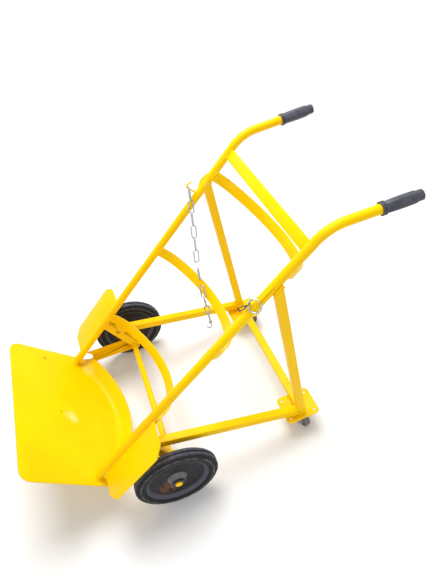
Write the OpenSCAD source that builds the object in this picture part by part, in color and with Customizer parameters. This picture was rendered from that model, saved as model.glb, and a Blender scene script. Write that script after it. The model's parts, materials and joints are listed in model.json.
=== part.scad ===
// Four-wheel cart for one wide gas cylinder, parked on its own wheels with the
// frame leaning back. X runs across the cart, +Y towards the handles, +Z up.
// The origin is on the floor, under the middle of the whole cart.

/* [Side rails] */
// Outer diameter of the round rail tube
rail_d = 25; // [22:0.5:30]
// Wall thickness of the round rail tube
rail_wall = 2; // [1.5:0.25:3]
// Half the distance between the rails, measured above the axle
rail_half = 236; // [220:1:250]
// Outward turn of each side frame towards the handles, degrees
splay = 1.9; // [1:0.1:3]
// Lean of the rails above the floor, degrees
rail_angle = 40; // [36:0.5:44]
// How far the foot of the rails stands in front of the axle
rail_foot_ahead = 216; // [200:1:230]
// Height of the foot of the rails above the floor
rail_foot_z = 148; // [140:1:160]
// Length of the rail from its foot to the corner of the handle bend
rail_len = 980; // [960:5:1040]
// Centreline radius of the handle bend
bend_r = 120; // [90:5:150]

/* [Handles] */
// Length of the level handle, from the corner of the bend to the grip's end
handle_len = 233; // [215:1:260]
// Length of the rubber grip
grip_len = 106; // [90:1:125]
// Diameter of the grip across its swollen middle
grip_d = 32; // [30:0.5:36]
// Diameter of the two collar rings at the front of the grip
collar_d = 34; // [33:0.5:38]
// Diameter of the narrow rear end of the grip
grip_end_d = 28.5; // [28:0.5:29.5]

/* [Dish] */
// Thickness of the dish plate
dish_t = 4; // [3:0.5:6]
// Half the width of the dish
dish_half = 258; // [250:1:275]
// Reach of the dish in front of the rails
dish_front = 240; // [200:5:280]
// Reach of the dish behind the rails
dish_back = 146; // [140:1:160]
// Radius of the round rear edge of the dish
dish_r = 300; // [285:5:320]
// Height of the turned-up rear rim above the plate
rim_h = 38; // [25:1:45]
// Inner radius of the bend below the rim
rim_bend = 22; // [12:1:24]
// Radius of the two front corners
dish_corner = 34; // [20:1:50]

/* [Wheel guards] */
// Thickness of each wheel guard plate
guard_t = 4; // [3:0.5:6]
// Distance of the guard's lower edge from the dish, along the rail
guard_low = 43; // [35:1:60]
// Length of the guard along the rail
guard_len = 246; // [220:1:260]
// Reach of the guard outside the rail's centreline
guard_reach = 115; // [95:1:120]
// Corner cut of the guard, along each edge
guard_cut = 28; // [15:1:40]
// Radius that rounds the guard's outer corners
guard_round = 9; // [4:1:12]

/* [Cradle bands] */
// Width of the flat strip used for the bands and the crossbar
strip_w = 32; // [26:1:40]
// Thickness of that strip
strip_t = 5; // [4:0.5:6]
// Distance of the lowest band from the dish, along the rail
band_low = 238; // [225:1:260]
// Spacing of the three bands along the rail
band_pitch = 299; // [290:1:305]
// Depth of each band behind the rails, to its rear face
band_depth = 167; // [150:1:180]
// Radius of the band's two end curves, to the middle of the strip
band_side_r = 106; // [85:1:120]
// Distance of the top crossbar from the dish, along the rail
crossbar_at = 914; // [900:1:925]

/* [Base frame] */
// Outer size of the square tube
sq = 25; // [20:1:30]
// Wall thickness of the square tube
sq_wall = 2; // [1.5:0.25:3]
// How far the square tubes sit outboard of the rails' centrelines
sq_out = 5; // [0:0.5:6]
// Distance of the posts behind the axle at their feet
post_foot = 430; // [400:1:450]
// Distance of the posts behind the axle at rail height
post_head = 399; // [380:1:430]
// Distance from the dish, along the rail, where the axle struts meet it
strut_at = 195; // [180:1:215]
// Height of the base tube's centreline at the axle struts
base_front_z = 222; // [205:1:235]
// Width of the flat leg of the foot angles
angle_w = 34; // [28:1:40]
// Height of the upright leg of the foot angles
angle_h = 24; // [20:1:30]
// Thickness of the foot angles
angle_t = 3; // [3:0.5:4]

/* [Main wheels] */
// Diameter of the solid rubber wheels
wheel_d = 250; // [230:2:260]
// Width of the tyre
tyre_w = 34; // [30:1:50]
// Distance of the outer face of the tyre from the middle of the cart
wheel_out = 334; // [325:1:345]
// Diameter of the seat of the tyre on the wheel disc
tyre_seat_d = 190; // [187:1:196]
// Diameter of the open recess in the wheel disc
recess_d = 180; // [150:1:182]
// Thickness of the web of the wheel disc
web_t = 7; // [4:0.5:10]
// Diameter of the hub boss
hub_d = 52; // [44:1:58]
// Length of the hub
hub_len = 36; // [34:1:50]
// Diameter of the axle bar
axle_d = 20; // [18:0.5:22]
// Outer diameter of the plastic bushes in the hub
bush_d = 28; // [26:0.5:32]

/* [Casters] */
// Height of the top face of the caster plates above the floor
caster_h = 75; // [72:0.5:78]
// Diameter of the caster wheels
caster_d = 52; // [48:1:54]
// Width of the caster wheels
caster_w = 20; // [16:1:22]
// Trail of the caster wheel behind its swivel pin
caster_trail = 24; // [20:1:28]
// Length of the caster plate along the cart
plate_len = 110; // [100:1:120]
// Width of the caster plate across the cart
plate_w = 98; // [90:1:104]
// Spacing of the plate holes along the cart
hole_len = 80; // [72:1:84]
// Spacing of the plate holes across the cart
hole_w = 70; // [64:1:74]
// Diameter of the plate holes
hole_d = 9; // [7:0.5:10]
// How far the caster plate sits inboard of the post
plate_in = 23; // [20:1:28]
// Turn of the right caster at rest, degrees from pointing to the handles
right_caster_turn = -78; // [-180:1:180]
// Turn of the left caster at rest, degrees from pointing to the handles
left_caster_turn = -20; // [-180:1:180]

/* [Chain] */
// Diameter of the chain's wire
wire_d = 4.5; // [4:0.25:5]
// Spacing of the chain's links
link_pitch = 39; // [37:0.5:40]
// Outer width of a chain link
link_w = 19.5; // [18:0.5:21]
// Links that hang below the middle band
lower_links = 3; // [2:1:5]
// Diameter of the rod of the chain hook
hook_rod_d = 5; // [4:0.5:6]
// Distance of the chain hook from the dish, along the rail
hook_at = 760; // [755:1:768]
// Distance of the chain's first link from the rail's centreline
hook_seat = 38; // [36:1:40]
// Reach of the chain hook's stem from the rail's centreline
hook_reach = 44; // [42:1:48]
// Centreline radius of the chain hook's bend
hook_bend_r = 7; // [6:0.5:9]
// Length of the chain hook's tip past its bend
hook_tip = 14; // [8:1:18]

/* [Lugs and ring] */
// Thickness of the two lugs
lug_t = 5; // [4:0.5:6]
// Length of the lugs along the rail
lug_len = 56; // [50:1:60]
// Height of the hook lug above the rail
lug_h = 7; // [5:0.5:9]
// Distance of the hook lug from the dish, along the rail
hook_lug_at = 776; // [772:1:790]
// Distance of the ring lug from the dish, along the rail
ring_lug_at = 740; // [730:1:745]
// Diameter of the eye in the ring lug
eye_d = 9; // [8:0.5:10]
// Outer diameter of the steel ring on the right rail
ring_d = 38; // [36:1:42]
// Diameter of the ring's wire
ring_wire = 4.5; // [4:0.25:5]

/* [Hidden] */

$fn = 96;

// Shared clearances: a running fit, a cap on a tube and a gap to a moving piece
run_gap = 0.05;
slip_gap = 0.1;
side_gap = 0.5;
rest_gap = 0.3;
// Depth by which a welded end is cut to fit the round tube
cope = 1.5;
// Half the width and the reach of the blocks that cut the tubes' ends
cut_half = 100;
cut_reach = 300;

// Turn of the lugs outward from the front of the rails, and the ring's eye
lug_turn = 40;
eye_rim = 3.2;
eye_back = 8;
// Turn of the chain hook's bend
hook_bend = 110;
// The chain crosses the middle band at these angles, a gap above its inner face
drape_in_at = 31;
drape_out_at = 19;
drape_gap = 11;
drape_short = 4;

rail_r = rail_d / 2;
lean_y = cos(rail_angle);
lean_z = sin(rail_angle);
axle_z = wheel_d / 2;

// The side view of a side frame: y is measured from the axle, z from the floor
function rail_y(s) = -rail_foot_ahead + s * lean_y;
function rail_z(s) = rail_foot_z + s * lean_z;
// Distance of a rail's centreline from the middle of the cart, s along the rail
function rail_x(s) = rail_half + rail_y(s) * tan(splay);

bend_y = rail_y(rail_len);
bend_z = rail_z(rail_len);
bend_cut = bend_r * tan(rail_angle / 2);
grip_wall_end = 3;
handle_end_y = bend_y + handle_len;

// The whole cart, from the front edge of the dish to the ends of the grips
front_y = -rail_foot_ahead - dish_front * lean_z - dish_t * lean_y;
grip_edge = 2;
back_y = handle_end_y * cos(splay) + (grip_end_d / 2 - grip_edge) * sin(splay);
axle_y = -(front_y + back_y) / 2;

// Turns children into the right (side = 1) or the left (side = -1) half
module half(side) {
    mirror([side < 0 ? 1 : 0, 0, 0])
        translate([0, axle_y, 0])
            children();
}

// Places children in a side frame: y from the axle, z from the floor, x outward
module side_frame(side) {
    half(side)
        translate([rail_half, 0, 0])
            rotate([0, 0, -splay])
                children();
}

// Local z runs along the rails, local y square to them and to the rear
module lean() {
    translate([0, -rail_foot_ahead, rail_foot_z])
        rotate([rail_angle - 90, 0, 0])
            children();
}

// The leaning frame in the middle of the cart
module middle() {
    translate([0, axle_y, 0])
        lean()
            children();
}

// Turns a shape drawn flat, so that its height runs across the cart
module across(width) {
    translate([-width / 2, 0, 0])
        rotate([90, 0, 90])
            linear_extrude(width)
                children();
}

// Points of a closed outline whose corners are rounded to radius r
function unit(v) = v / norm(v);
function corner_arc(a, p, b, r, n) =
    let (
        u = unit(a - p),
        v = unit(b - p),
        half_turn = acos(u * v) / 2,
        mid = p + unit(u + v) * (r / sin(half_turn)),
        from = p + u * (r / tan(half_turn)) - mid,
        to = p + v * (r / tan(half_turn)) - mid,
        side = sign(from[0] * to[1] - from[1] * to[0]),
        sweep = side * (180 - 2 * half_turn)
    )
    [for (i = [0 : n])
        let (t = sweep * i / n)
        mid + [from[0] * cos(t) - from[1] * sin(t), from[0] * sin(t) + from[1] * cos(t)]];
function rounded(points, radii, n) =
    let (m = len(points))
    [for (i = [0 : m - 1])
        for (q = radii[i] > 0
                ? corner_arc(points[(i + m - 1) % m], points[i], points[(i + 1) % m], radii[i], n)
                : [points[i]])
            q];

// Side rails

// The path of a rail as a round bar, longer by foot and by tip at its two ends. Its
// bend is wider by ease all round, and the straight parts run a little way into it.
bend_ease = 0.05;
bend_lap = 1;
module rail_bar(d, foot = 0, tip = 0, ease = bend_ease) {
    lean()
        translate([0, 0, -foot])
            cylinder(d = d, h = rail_len - bend_cut + bend_lap + foot);
    translate([0, bend_y + bend_cut, bend_z - bend_r])
        rotate([180, -90, 0])
            rotate_extrude(angle = rail_angle)
                translate([bend_r, 0])
                    rotate(90)
                        circle(d = d + 2 * ease);
    translate([0, bend_y + bend_cut - bend_lap, bend_z])
        rotate([-90, 0, 0])
            cylinder(d = d, h = handle_len - bend_cut + bend_lap - grip_wall_end + tip);
}

// Everything below the upper face of the dish's plate, where the rails stand
module under_plate() {
    middle()
        translate([-2 * rail_half, -2 * rail_d, -4 * rail_d])
            cube([4 * rail_half, 4 * rail_d, 4 * rail_d]);
}

foot_lap = 1;
module rail(side) {
    color("#f2d411")
        difference() {
            side_frame(side)
                difference() {
                    rail_bar(rail_d, foot_lap);
                    rail_bar(rail_d - 2 * rail_wall, 2 * foot_lap, foot_lap, -bend_ease);
                }
            under_plate();
        }
}

// Handle grips

collar_w = 4;
collar_gap = 3;
grip_neck = 18;
module grip(side) {
    r = grip_d / 2;
    color("#25272b")
        side_frame(side)
            translate([0, handle_end_y, bend_z])
                rotate([90, 0, 0])
                    difference() {
                        rotate_extrude()
                            polygon([
                                [0, 0],
                                [grip_end_d / 2 - grip_edge, 0],
                                [grip_end_d / 2, grip_edge],
                                [grip_end_d / 2, grip_neck - grip_edge],
                                [r, grip_neck + 2 * grip_edge],
                                [r, grip_len * 0.6],
                                [r - 1, grip_len - 2 * collar_w - collar_gap],
                                [collar_d / 2, grip_len - 2 * collar_w - collar_gap],
                                [collar_d / 2, grip_len - collar_w - collar_gap],
                                [r - 1, grip_len - collar_w - collar_gap],
                                [r - 1, grip_len - collar_w],
                                [collar_d / 2, grip_len - collar_w],
                                [collar_d / 2, grip_len],
                                [0, grip_len]
                            ]);
                        translate([0, 0, grip_wall_end])
                            cylinder(d = rail_d + 2 * slip_gap, h = grip_len);
                    }
}

// Cylinder dish: a plate square to the rails, with a turned-up rear rim

dish_mid = dish_back - dish_r;
rim_turn = 75;
rim_arc = rim_bend * rim_turn * PI / 180;
rim_flat = (rim_h - rim_bend * (1 - cos(rim_turn))) / sin(rim_turn);
rim_in = dish_r - rim_bend * sin(rim_turn) - rim_flat * cos(rim_turn);
rim_reach = rim_arc + rim_flat;
// The rim starts flat just behind the rails and is fully turned up further back
rim_start = 30;
rim_full = 50;
rim_steps = 6;
rim_slices = 56;
corner_steps = 6;

// Directions around the dish, measured from straight to the rear
rim_end = atan2(dish_half, 0 - dish_mid);
corner_in = dish_half - dish_corner;
corner_ahead = dish_front + dish_mid - dish_corner;
dish_turns = concat(
    [for (i = [0 : rim_slices]) -rim_end + 2 * rim_end * i / rim_slices],
    [atan2(dish_half, 2 * dish_mid / 3 - dish_mid)],
    [for (i = [0 : corner_steps])
        atan2(
            corner_in + dish_corner * cos(90 * i / corner_steps),
            -corner_ahead - dish_corner * sin(90 * i / corner_steps))],
    [180],
    [for (i = [0 : corner_steps])
        360 - atan2(
            corner_in + dish_corner * sin(90 * i / corner_steps),
            -corner_ahead - dish_corner * cos(90 * i / corner_steps))],
    [360 - atan2(dish_half, 2 * dish_mid / 3 - dish_mid)]
);

function ease(t) = t <= 0 ? 0 : t >= 1 ? 1 : t * t * (3 - 2 * t);
// Reach of the rounded rectangle in a direction, from the rim's centre
function plate_reach(a) =
    let (
        s = abs(sin(a)),
        c = -cos(a),
        x = corner_in,
        y = corner_ahead,
        along = x * s + y * c,
        apart = x * x + y * y - dish_corner * dish_corner,
        round_reach = along + sqrt(max(0, along * along - apart)),
        side_reach = s > 0.001 ? dish_half / s : 1e6,
        front_reach = c > 0.001 ? (corner_ahead + dish_corner) / c : 1e6,
        in_corner = round_reach * s >= x - 0.01 && round_reach * c >= y - 0.01
    )
    in_corner ? round_reach : min(side_reach, front_reach);
function blank_reach(a) = min(plate_reach(a), cos(a) > 0 ? rim_in + rim_reach : 1e6);
function turn_up(a) =
    rim_turn * ease((dish_mid + dish_r * cos(a) - rim_start) / (rim_full - rim_start));
// Point of the plate: [reach, height, slope] at a distance past the rim's start
function rim_point(a, t) =
    let (
        up = cos(a) > 0 ? turn_up(a) : 0,
        bend = min(t, rim_arc),
        slope = up * bend / rim_arc,
        r = up > 0.01 ? rim_arc / (up * PI / 180) : 1,
        flat = max(0, t - rim_arc)
    )
    up > 0.01
        ? [r * sin(slope) + flat * cos(slope), r * (1 - cos(slope)) + flat * sin(slope), slope]
        : [t, 0, 0];
function dish_point(a, k, drop) =
    let (
        full = blank_reach(a),
        start = min(rim_in, full * 0.8),
        p = rim_point(a, (full - start) * k / rim_steps),
        reach = start + p[0] + drop * sin(p[2]),
        height = p[1] - drop * cos(p[2])
    )
    [reach * sin(a), dish_mid + reach * cos(a), height];

module cylinder_dish() {
    m = len(dish_turns);
    ring = m * (rim_steps + 1);
    top = [for (k = [0 : rim_steps]) for (a = dish_turns) dish_point(a, k, 0)];
    low = [for (k = [0 : rim_steps]) for (a = dish_turns) dish_point(a, k, dish_t)];
    hubs = [[0, dish_mid, 0], [0, dish_mid, -dish_t]];
    hub = 2 * ring;
    color("#f5d60a")
        middle()
            polyhedron(
                points = concat(top, low, hubs),
                faces = concat(
                    [for (i = [0 : m - 1]) let (j = (i + 1) % m) [hub, i, j]],
                    [for (i = [0 : m - 1]) let (j = (i + 1) % m) [hub + 1, ring + j, ring + i]],
                    [for (k = [0 : rim_steps - 1]) for (i = [0 : m - 1])
                        let (j = (i + 1) % m, b = k * m)
                        each [[b + i, b + m + i, b + j], [b + j, b + m + i, b + m + j]]],
                    [for (k = [0 : rim_steps - 1]) for (i = [0 : m - 1])
                        let (j = (i + 1) % m, b = ring + k * m)
                        each [[b + i, b + j, b + m + i], [b + j, b + m + j, b + m + i]]],
                    [for (i = [0 : m - 1])
                        let (j = (i + 1) % m, b = rim_steps * m)
                        each [
                            [b + i, ring + b + i, b + j],
                            [b + j, ring + b + i, ring + b + j]]]
                )
            );
}

// Wheel guards: flat plates in the plane of the rails, outboard of them

module wheel_guard(side) {
    high = guard_low + guard_len;
    color("#f4d20c")
        side_frame(side)
            lean()
                difference() {
                    translate([0, guard_t / 2, 0])
                        rotate([90, 0, 0])
                            linear_extrude(guard_t)
                                polygon(rounded(
                                    [
                                        [0, guard_low],
                                        [guard_reach - guard_cut, guard_low],
                                        [guard_reach, guard_low + guard_cut],
                                        [guard_reach, high - guard_cut],
                                        [guard_reach - guard_cut, high],
                                        [0, high]
                                    ],
                                    [0, guard_round, guard_round, guard_round, guard_round, 0],
                                    5));
                    cylinder(d = rail_d, h = rail_len / 2);
                }
}

// Crossbar and cradle bands, cut to fit the round rails

module rail_cuts() {
    for (side = [-1, 1])
        side_frame(side)
            rail_bar(rail_d);
}

module top_crossbar() {
    reach = rail_x(crossbar_at);
    color("#f6d80e")
        difference() {
            middle()
                translate([-reach, -strip_t / 2, crossbar_at - strip_w / 2])
                    cube([2 * reach, strip_t, strip_w]);
            rail_cuts();
        }
}

// One band: a wide arc across the rear between two tighter side arcs
side_steps = 12;
wide_steps = 32;
band_deep = band_depth - strip_t / 2;
function band_side_x(s) = rail_x(s) - rail_r - strip_t / 2 + cope - band_side_r;
function band_wide_r(s) =
    let (x = band_side_x(s))
    (x * x + band_deep * band_deep - band_side_r * band_side_r) / (2 * (band_deep - band_side_r));
// Points along the band, from the right rail to the left, off the middle of the strip
function band_line(s, off) =
    let (
        x = band_side_x(s),
        wide_r = band_wide_r(s),
        half_turn = atan2(x, wide_r - band_deep),
        side_turn = 90 - half_turn,
        r = band_side_r + off,
        wide = wide_r + off
    )
    concat(
        [for (i = [0 : side_steps])
            let (a = side_turn * i / side_steps)
            [x + r * cos(a), r * sin(a)]],
        [for (i = [1 : wide_steps - 1])
            let (a = half_turn * (1 - 2 * i / wide_steps))
            [wide * sin(a), band_deep - wide_r + wide * cos(a)]],
        [for (i = [side_steps : -1 : 0])
            let (a = side_turn * i / side_steps)
            [-x - r * cos(a), r * sin(a)]]
    );
module band(s) {
    outer = band_line(s, strip_t / 2);
    inner = band_line(s, -strip_t / 2);
    last = len(inner) - 1;
    color("#f6d80e")
        difference() {
            middle()
                translate([0, 0, s - strip_w / 2])
                    linear_extrude(strip_w)
                        polygon(concat(outer, [for (i = [last : -1 : 0]) inner[i]]));
            rail_cuts();
        }
}

// Base frame of square tube

// A square tube between two points of a side frame, given as [y, z]
module square_tube(from, to, extra) {
    run = to - from;
    translate([sq_out, from[0], from[1]])
        rotate([-atan2(run[0], run[1]), 0, 0])
            translate([0, 0, -extra])
                difference() {
                    translate([-sq / 2, -sq / 2, 0])
                        cube([sq, sq, norm(run) + 2 * extra]);
                    translate([-sq / 2 + sq_wall, -sq / 2 + sq_wall, -1])
                        cube([sq - 2 * sq_wall, sq - 2 * sq_wall, norm(run) + 2 * extra + 2]);
                }
}

// Everything in front of the line where the tubes' mitred ends meet the rail
module front_of_rail() {
    lean()
        translate([-cut_half, rail_r - cope - cut_reach, -cut_half])
            cube([2 * cut_half, cut_reach, rail_len + 2 * cut_half]);
}

strut_foot = [0, axle_z];
strut_head = [rail_y(strut_at), rail_z(strut_at)];
strut_run = strut_head - strut_foot;
base_front = [
    strut_foot[0] + strut_run[0] * (base_front_z - axle_z) / strut_run[1],
    base_front_z
];
base_back = [post_foot, caster_h + sq / 2];
post_low = [post_foot, caster_h];
post_high = [
    post_head,
    rail_z((post_head + rail_foot_ahead) / lean_y)
];
post_run = post_high - post_low;
post_tilt = atan2(post_run[0], post_run[1]);
strut_tilt = atan2(strut_run[0], strut_run[1]);
shelf_z = axle_z - axle_d / 2;

module post(side) {
    color("#eec40a")
        side_frame(side)
            difference() {
                square_tube(post_low, post_high, sq);
                front_of_rail();
                rail_bar(rail_d);
                translate([-cut_half, 0, -cut_half])
                    cube([2 * cut_half, 2 * post_foot, cut_half + caster_h]);
            }
}

module axle_strut(side) {
    color("#efc70a")
        side_frame(side)
            difference() {
                square_tube(strut_foot, strut_head, sq);
                front_of_rail();
                rail_bar(rail_d);
                translate([-cut_half, -cut_half, shelf_z - 2 * cut_half])
                    cube(2 * cut_half);
                axle_hole();
            }
}

// Cuts the axle's seat in a side frame, whose plane is turned by the splay
module axle_hole() {
    rotate([0, 0, splay])
        translate([-cut_half, 0, axle_z])
            rotate([0, 90, 0])
                cylinder(d = axle_d, h = 2 * cut_half);
}

// The base tube runs from the rear face of the strut to the front of the post
module base_tube(side) {
    color("#f6d80e")
        side_frame(side)
            difference() {
                square_tube(base_front, base_back, sq);
                translate([-cut_half, strut_foot[0], strut_foot[1]])
                    rotate([-strut_tilt, 0, 0])
                        translate([0, sq / 2 - cut_reach, -cut_reach])
                            cube([2 * cut_half, cut_reach, 2 * cut_reach]);
                translate([-cut_half, post_low[0], post_low[1]])
                    rotate([-post_tilt, 0, 0])
                        translate([0, -sq / 2, -cut_reach])
                            cube([2 * cut_half, cut_reach, 2 * cut_reach]);
                translate([-cut_half, 0, caster_h - 2 * cut_half])
                    cube([2 * cut_half, 2 * post_foot, 2 * cut_half]);
            }
}

// The tube across the rear stands on the caster plates, between the posts
module rear_cross_tube() {
    reach = rail_half + post_foot * tan(splay) + sq_out;
    color("#f6d80e")
        difference() {
            translate([0, axle_y + post_foot, caster_h + sq / 2])
                difference() {
                    cube([2 * reach, sq, sq], center = true);
                    cube([2 * reach + 2, sq - 2 * sq_wall, sq - 2 * sq_wall], center = true);
                }
            for (side = [-1, 1])
                side_frame(side)
                    translate([sq_out - sq / 2, post_foot - cut_half, 0])
                        cube([cut_half, 2 * cut_half, 2 * caster_h]);
        }
}

// Angle iron from the foot of the rail to the axle: the axle lies on its flat leg,
// whose front end is cut to fit round the dish's rim
rim_seat = 0.3;
angle_tail = 4;
module foot_angle(side) {
    front = -rail_foot_ahead - sq;
    outer_x = sq_out + sq / 2 + angle_t;
    slope = atan2(rail_foot_z - axle_z, rail_foot_ahead);
    run = sq / 2 + angle_tail - front;
    color("#f3cf0c")
        difference() {
            side_frame(side)
                difference() {
                    translate([0, 0, shelf_z])
                        rotate([-slope, 0, 0]) {
                            translate([outer_x - angle_w, front, -angle_t])
                                cube([angle_w, run, angle_t]);
                            translate([outer_x - angle_t, front, -angle_t])
                                cube([angle_t, run, angle_h]);
                        }
                    rail_bar(rail_d, foot_lap);
                    lean()
                        translate([-cut_half, -cut_reach, -cut_reach])
                            cube([2 * cut_half, cut_reach, 2 * cut_reach]);
                    lean()
                        translate([-cut_half, -cut_reach, -cut_reach])
                            cube([2 * cut_half, 2 * cut_reach, cut_reach]);
                    axle_hole();
                    translate([-cut_half, -sq, shelf_z])
                        cube([cut_half + outer_x - angle_t, 3 * sq, sq]);
                }
            rim_room();
        }
}

// The space that the turned-up rim takes, and the part of it still turning up
module rim_room() {
    middle() {
        translate([0, dish_mid, -1])
            cylinder(r = dish_r + dish_t + rim_seat, h = rim_h + 2);
        intersection() {
            translate([0, dish_mid, -1])
                cylinder(r = rim_in + rim_reach + rim_seat, h = rim_h + 2);
            translate([-2 * rail_half, -rail_half, -1])
                cube([4 * rail_half, rail_half + rim_full + dish_t, rim_h + 2]);
        }
    }
}

// Axle, collars, washers and retaining clips

hub_in = wheel_out - tyre_w / 2 - hub_len / 2;
hub_out = hub_in + hub_len;
collar_out_d = 30;
washer_t = 2;
clip_t = 1.6;
clip_groove = 1.2;
axle_tip = 4;
washer_in = hub_in - side_gap - washer_t;
washer_out = hub_out + side_gap;
clip_at = washer_out + washer_t;
axle_half = clip_at + clip_t + axle_tip;

module axle_bar() {
    color("#f4d20c")
        half(1)
            translate([0, 0, axle_z])
                rotate([0, 90, 0])
                    difference() {
                        translate([0, 0, -axle_half])
                            cylinder(d = axle_d, h = 2 * axle_half);
                        for (side = [-1, 1])
                            translate([0, 0, side * (clip_at + clip_t / 2) - clip_t / 2])
                                difference() {
                                    cylinder(d = axle_d + 4, h = clip_t);
                                    translate([0, 0, -1])
                                        cylinder(d = axle_d - 2 * clip_groove, h = clip_t + 2);
                                }
                    }
}

// A ring on the axle, from in_x outwards
module axle_ring(side, in_x, thick, outer, inner) {
    half(side)
        translate([in_x, 0, axle_z])
            rotate([0, 90, 0])
                difference() {
                    cylinder(d = outer, h = thick);
                    translate([0, 0, -1])
                        cylinder(d = inner, h = thick + 2);
                }
}

// Collars fill the axle between the foot angles and the inner washers
collar_in = rail_half + sq_out + sq / 2 + angle_t + 1;
module axle_collars() {
    color("#eec40a")
        for (side = [-1, 1])
            axle_ring(side, collar_in, washer_in - collar_in, collar_out_d, axle_d);
}

module axle_washers() {
    color("#9a9c9e")
        for (side = [-1, 1])
            for (x = [washer_in, washer_out])
                axle_ring(side, x, washer_t, collar_out_d, axle_d + 2 * slip_gap);
}

module axle_clips() {
    color("#55575a")
        for (side = [-1, 1])
            axle_ring(side, clip_at, clip_t, axle_d + 5, axle_d - 2 * clip_groove);
}

// Main wheels

// Places children on a wheel's axis: local z runs outward from the tyre's inner face
module wheel_place(side) {
    half(side)
        translate([wheel_out - tyre_w, 0, axle_z])
            rotate([0, 90, 0])
                children();
}

tread_groove = 3;
tread_depth = 3.5;
tyre_shoulder = 7;
bead_h = 10;
module tyre(side) {
    r = wheel_d / 2;
    seat = tyre_seat_d / 2;
    rib = (tyre_w - 2 * tyre_shoulder - 2 * tread_groove) / 3;
    g1 = tyre_shoulder + rib;
    g2 = g1 + tread_groove + rib;
    color("#1d1d1f")
        wheel_place(side)
            rotate_extrude()
                polygon([
                    [seat, 3],
                    [seat + bead_h, 0],
                    [r - 14, 0],
                    [r - 4, 2],
                    [r - 1, tyre_shoulder],
                    [r, g1 - rib / 2],
                    [r, g1],
                    [r - tread_depth, g1],
                    [r - tread_depth, g1 + tread_groove],
                    [r, g1 + tread_groove],
                    [r, g2],
                    [r - tread_depth, g2],
                    [r - tread_depth, g2 + tread_groove],
                    [r, g2 + tread_groove],
                    [r, g2 + tread_groove + rib / 2],
                    [r - 1, tyre_w - tyre_shoulder],
                    [r - 4, tyre_w - 2],
                    [r - 14, tyre_w],
                    [seat + bead_h, tyre_w],
                    [seat, tyre_w - 3]
                ]);
}

module wheel_disc(side) {
    seat = tyre_seat_d / 2;
    recess = recess_d / 2;
    mid = tyre_w / 2;
    color("#4b4a4d")
        wheel_place(side)
            difference() {
                rotate_extrude()
                    polygon([
                        [0, mid - hub_len / 2],
                        [hub_d / 2 - 4, mid - hub_len / 2],
                        [hub_d / 2, mid - web_t / 2 - 6],
                        [hub_d / 2 + 6, mid - web_t / 2],
                        [recess - 5, mid - web_t / 2],
                        [recess, mid - web_t / 2 - 5],
                        [recess + 2, 3],
                        [seat, 3],
                        [seat, tyre_w - 3],
                        [recess + 2, tyre_w - 3],
                        [recess, mid + web_t / 2 + 5],
                        [recess - 5, mid + web_t / 2],
                        [hub_d / 2 + 6, mid + web_t / 2],
                        [hub_d / 2, mid + web_t / 2 + 6],
                        [hub_d / 2 - 4, mid + hub_len / 2],
                        [0, mid + hub_len / 2]
                    ]);
                translate([0, 0, mid - hub_len / 2 - 1])
                    cylinder(d = bush_d, h = hub_len + 2);
            }
}

bush_len = hub_len / 2 - 3;
module hub_bushes(side) {
    mid = tyre_w / 2;
    color("#d8d3c6")
        wheel_place(side)
            for (z = [mid - hub_len / 2, mid + hub_len / 2 - bush_len])
                translate([0, 0, z])
                    difference() {
                        cylinder(d = bush_d, h = bush_len);
                        translate([0, 0, -1])
                            cylinder(d = axle_d + 2 * run_gap, h = bush_len + 2);
                    }
}

// Casters

plate_t = 4;
plate_corner = 14;
pin_d = 12;
pin_head_d = 16;
pin_foot_d = 20;
pin_foot_t = 3;
cup_d = 44;
cup_h = 10;
crown_t = 3;
crown_front = 16;
crown_back = 22;
leg_drop = 8;
leg_t = 2.5;
sleeve_d = 12;
bolt_d = 8;
bolt_head = 13;
bolt_head_h = 5;
bolt_tail = 8;
nut_h = 6.5;
hex_ratio = 2 / sqrt(3);
caster_y = axle_y + post_foot;
caster_x = rail_half + post_foot * tan(splay) + sq_out - plate_in;
crown_top = caster_h - plate_t - side_gap - cup_h;
crown_low = crown_top - crown_t;
leg_in = caster_w / 2 + 1.5;
leg_r = 10;
caster_axle_z = caster_d / 2;

// Places children on a caster's swivel axis, at the floor
module caster_place(side) {
    translate([side * caster_x, caster_y, 0])
        children();
}

// Turns children with the fork at rest: local y points down the trail
module fork_place(side) {
    caster_place(side)
        rotate([0, 0, side > 0 ? right_caster_turn : left_caster_turn])
            children();
}

module caster_plate(side) {
    w = plate_w / 2;
    l = plate_len / 2;
    color("#f3d10b")
        caster_place(side)
            translate([0, 0, caster_h - plate_t])
                difference() {
                    linear_extrude(plate_t)
                        polygon(rounded(
                            [[-w, -l], [w, -l], [w, l], [-w, l]],
                            [plate_corner, plate_corner, plate_corner, plate_corner],
                            8));
                    for (x = [-hole_w / 2, hole_w / 2])
                        for (y = [-hole_len / 2, hole_len / 2])
                            translate([x, y, -1])
                                cylinder(d = hole_d, h = plate_t + 2);
                    translate([0, 0, -1])
                        cylinder(d = pin_head_d, h = plate_t + 2);
                }
}

module kingpin(side) {
    color("#8f9193")
        caster_place(side) {
            translate([0, 0, caster_h - plate_t])
                cylinder(d = pin_head_d, h = plate_t);
            translate([0, 0, crown_low - side_gap])
                cylinder(d = pin_d, h = caster_h - plate_t - crown_low + side_gap);
            translate([0, 0, crown_low - side_gap - pin_foot_t])
                cylinder(d = pin_foot_d, h = pin_foot_t);
        }
}

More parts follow.
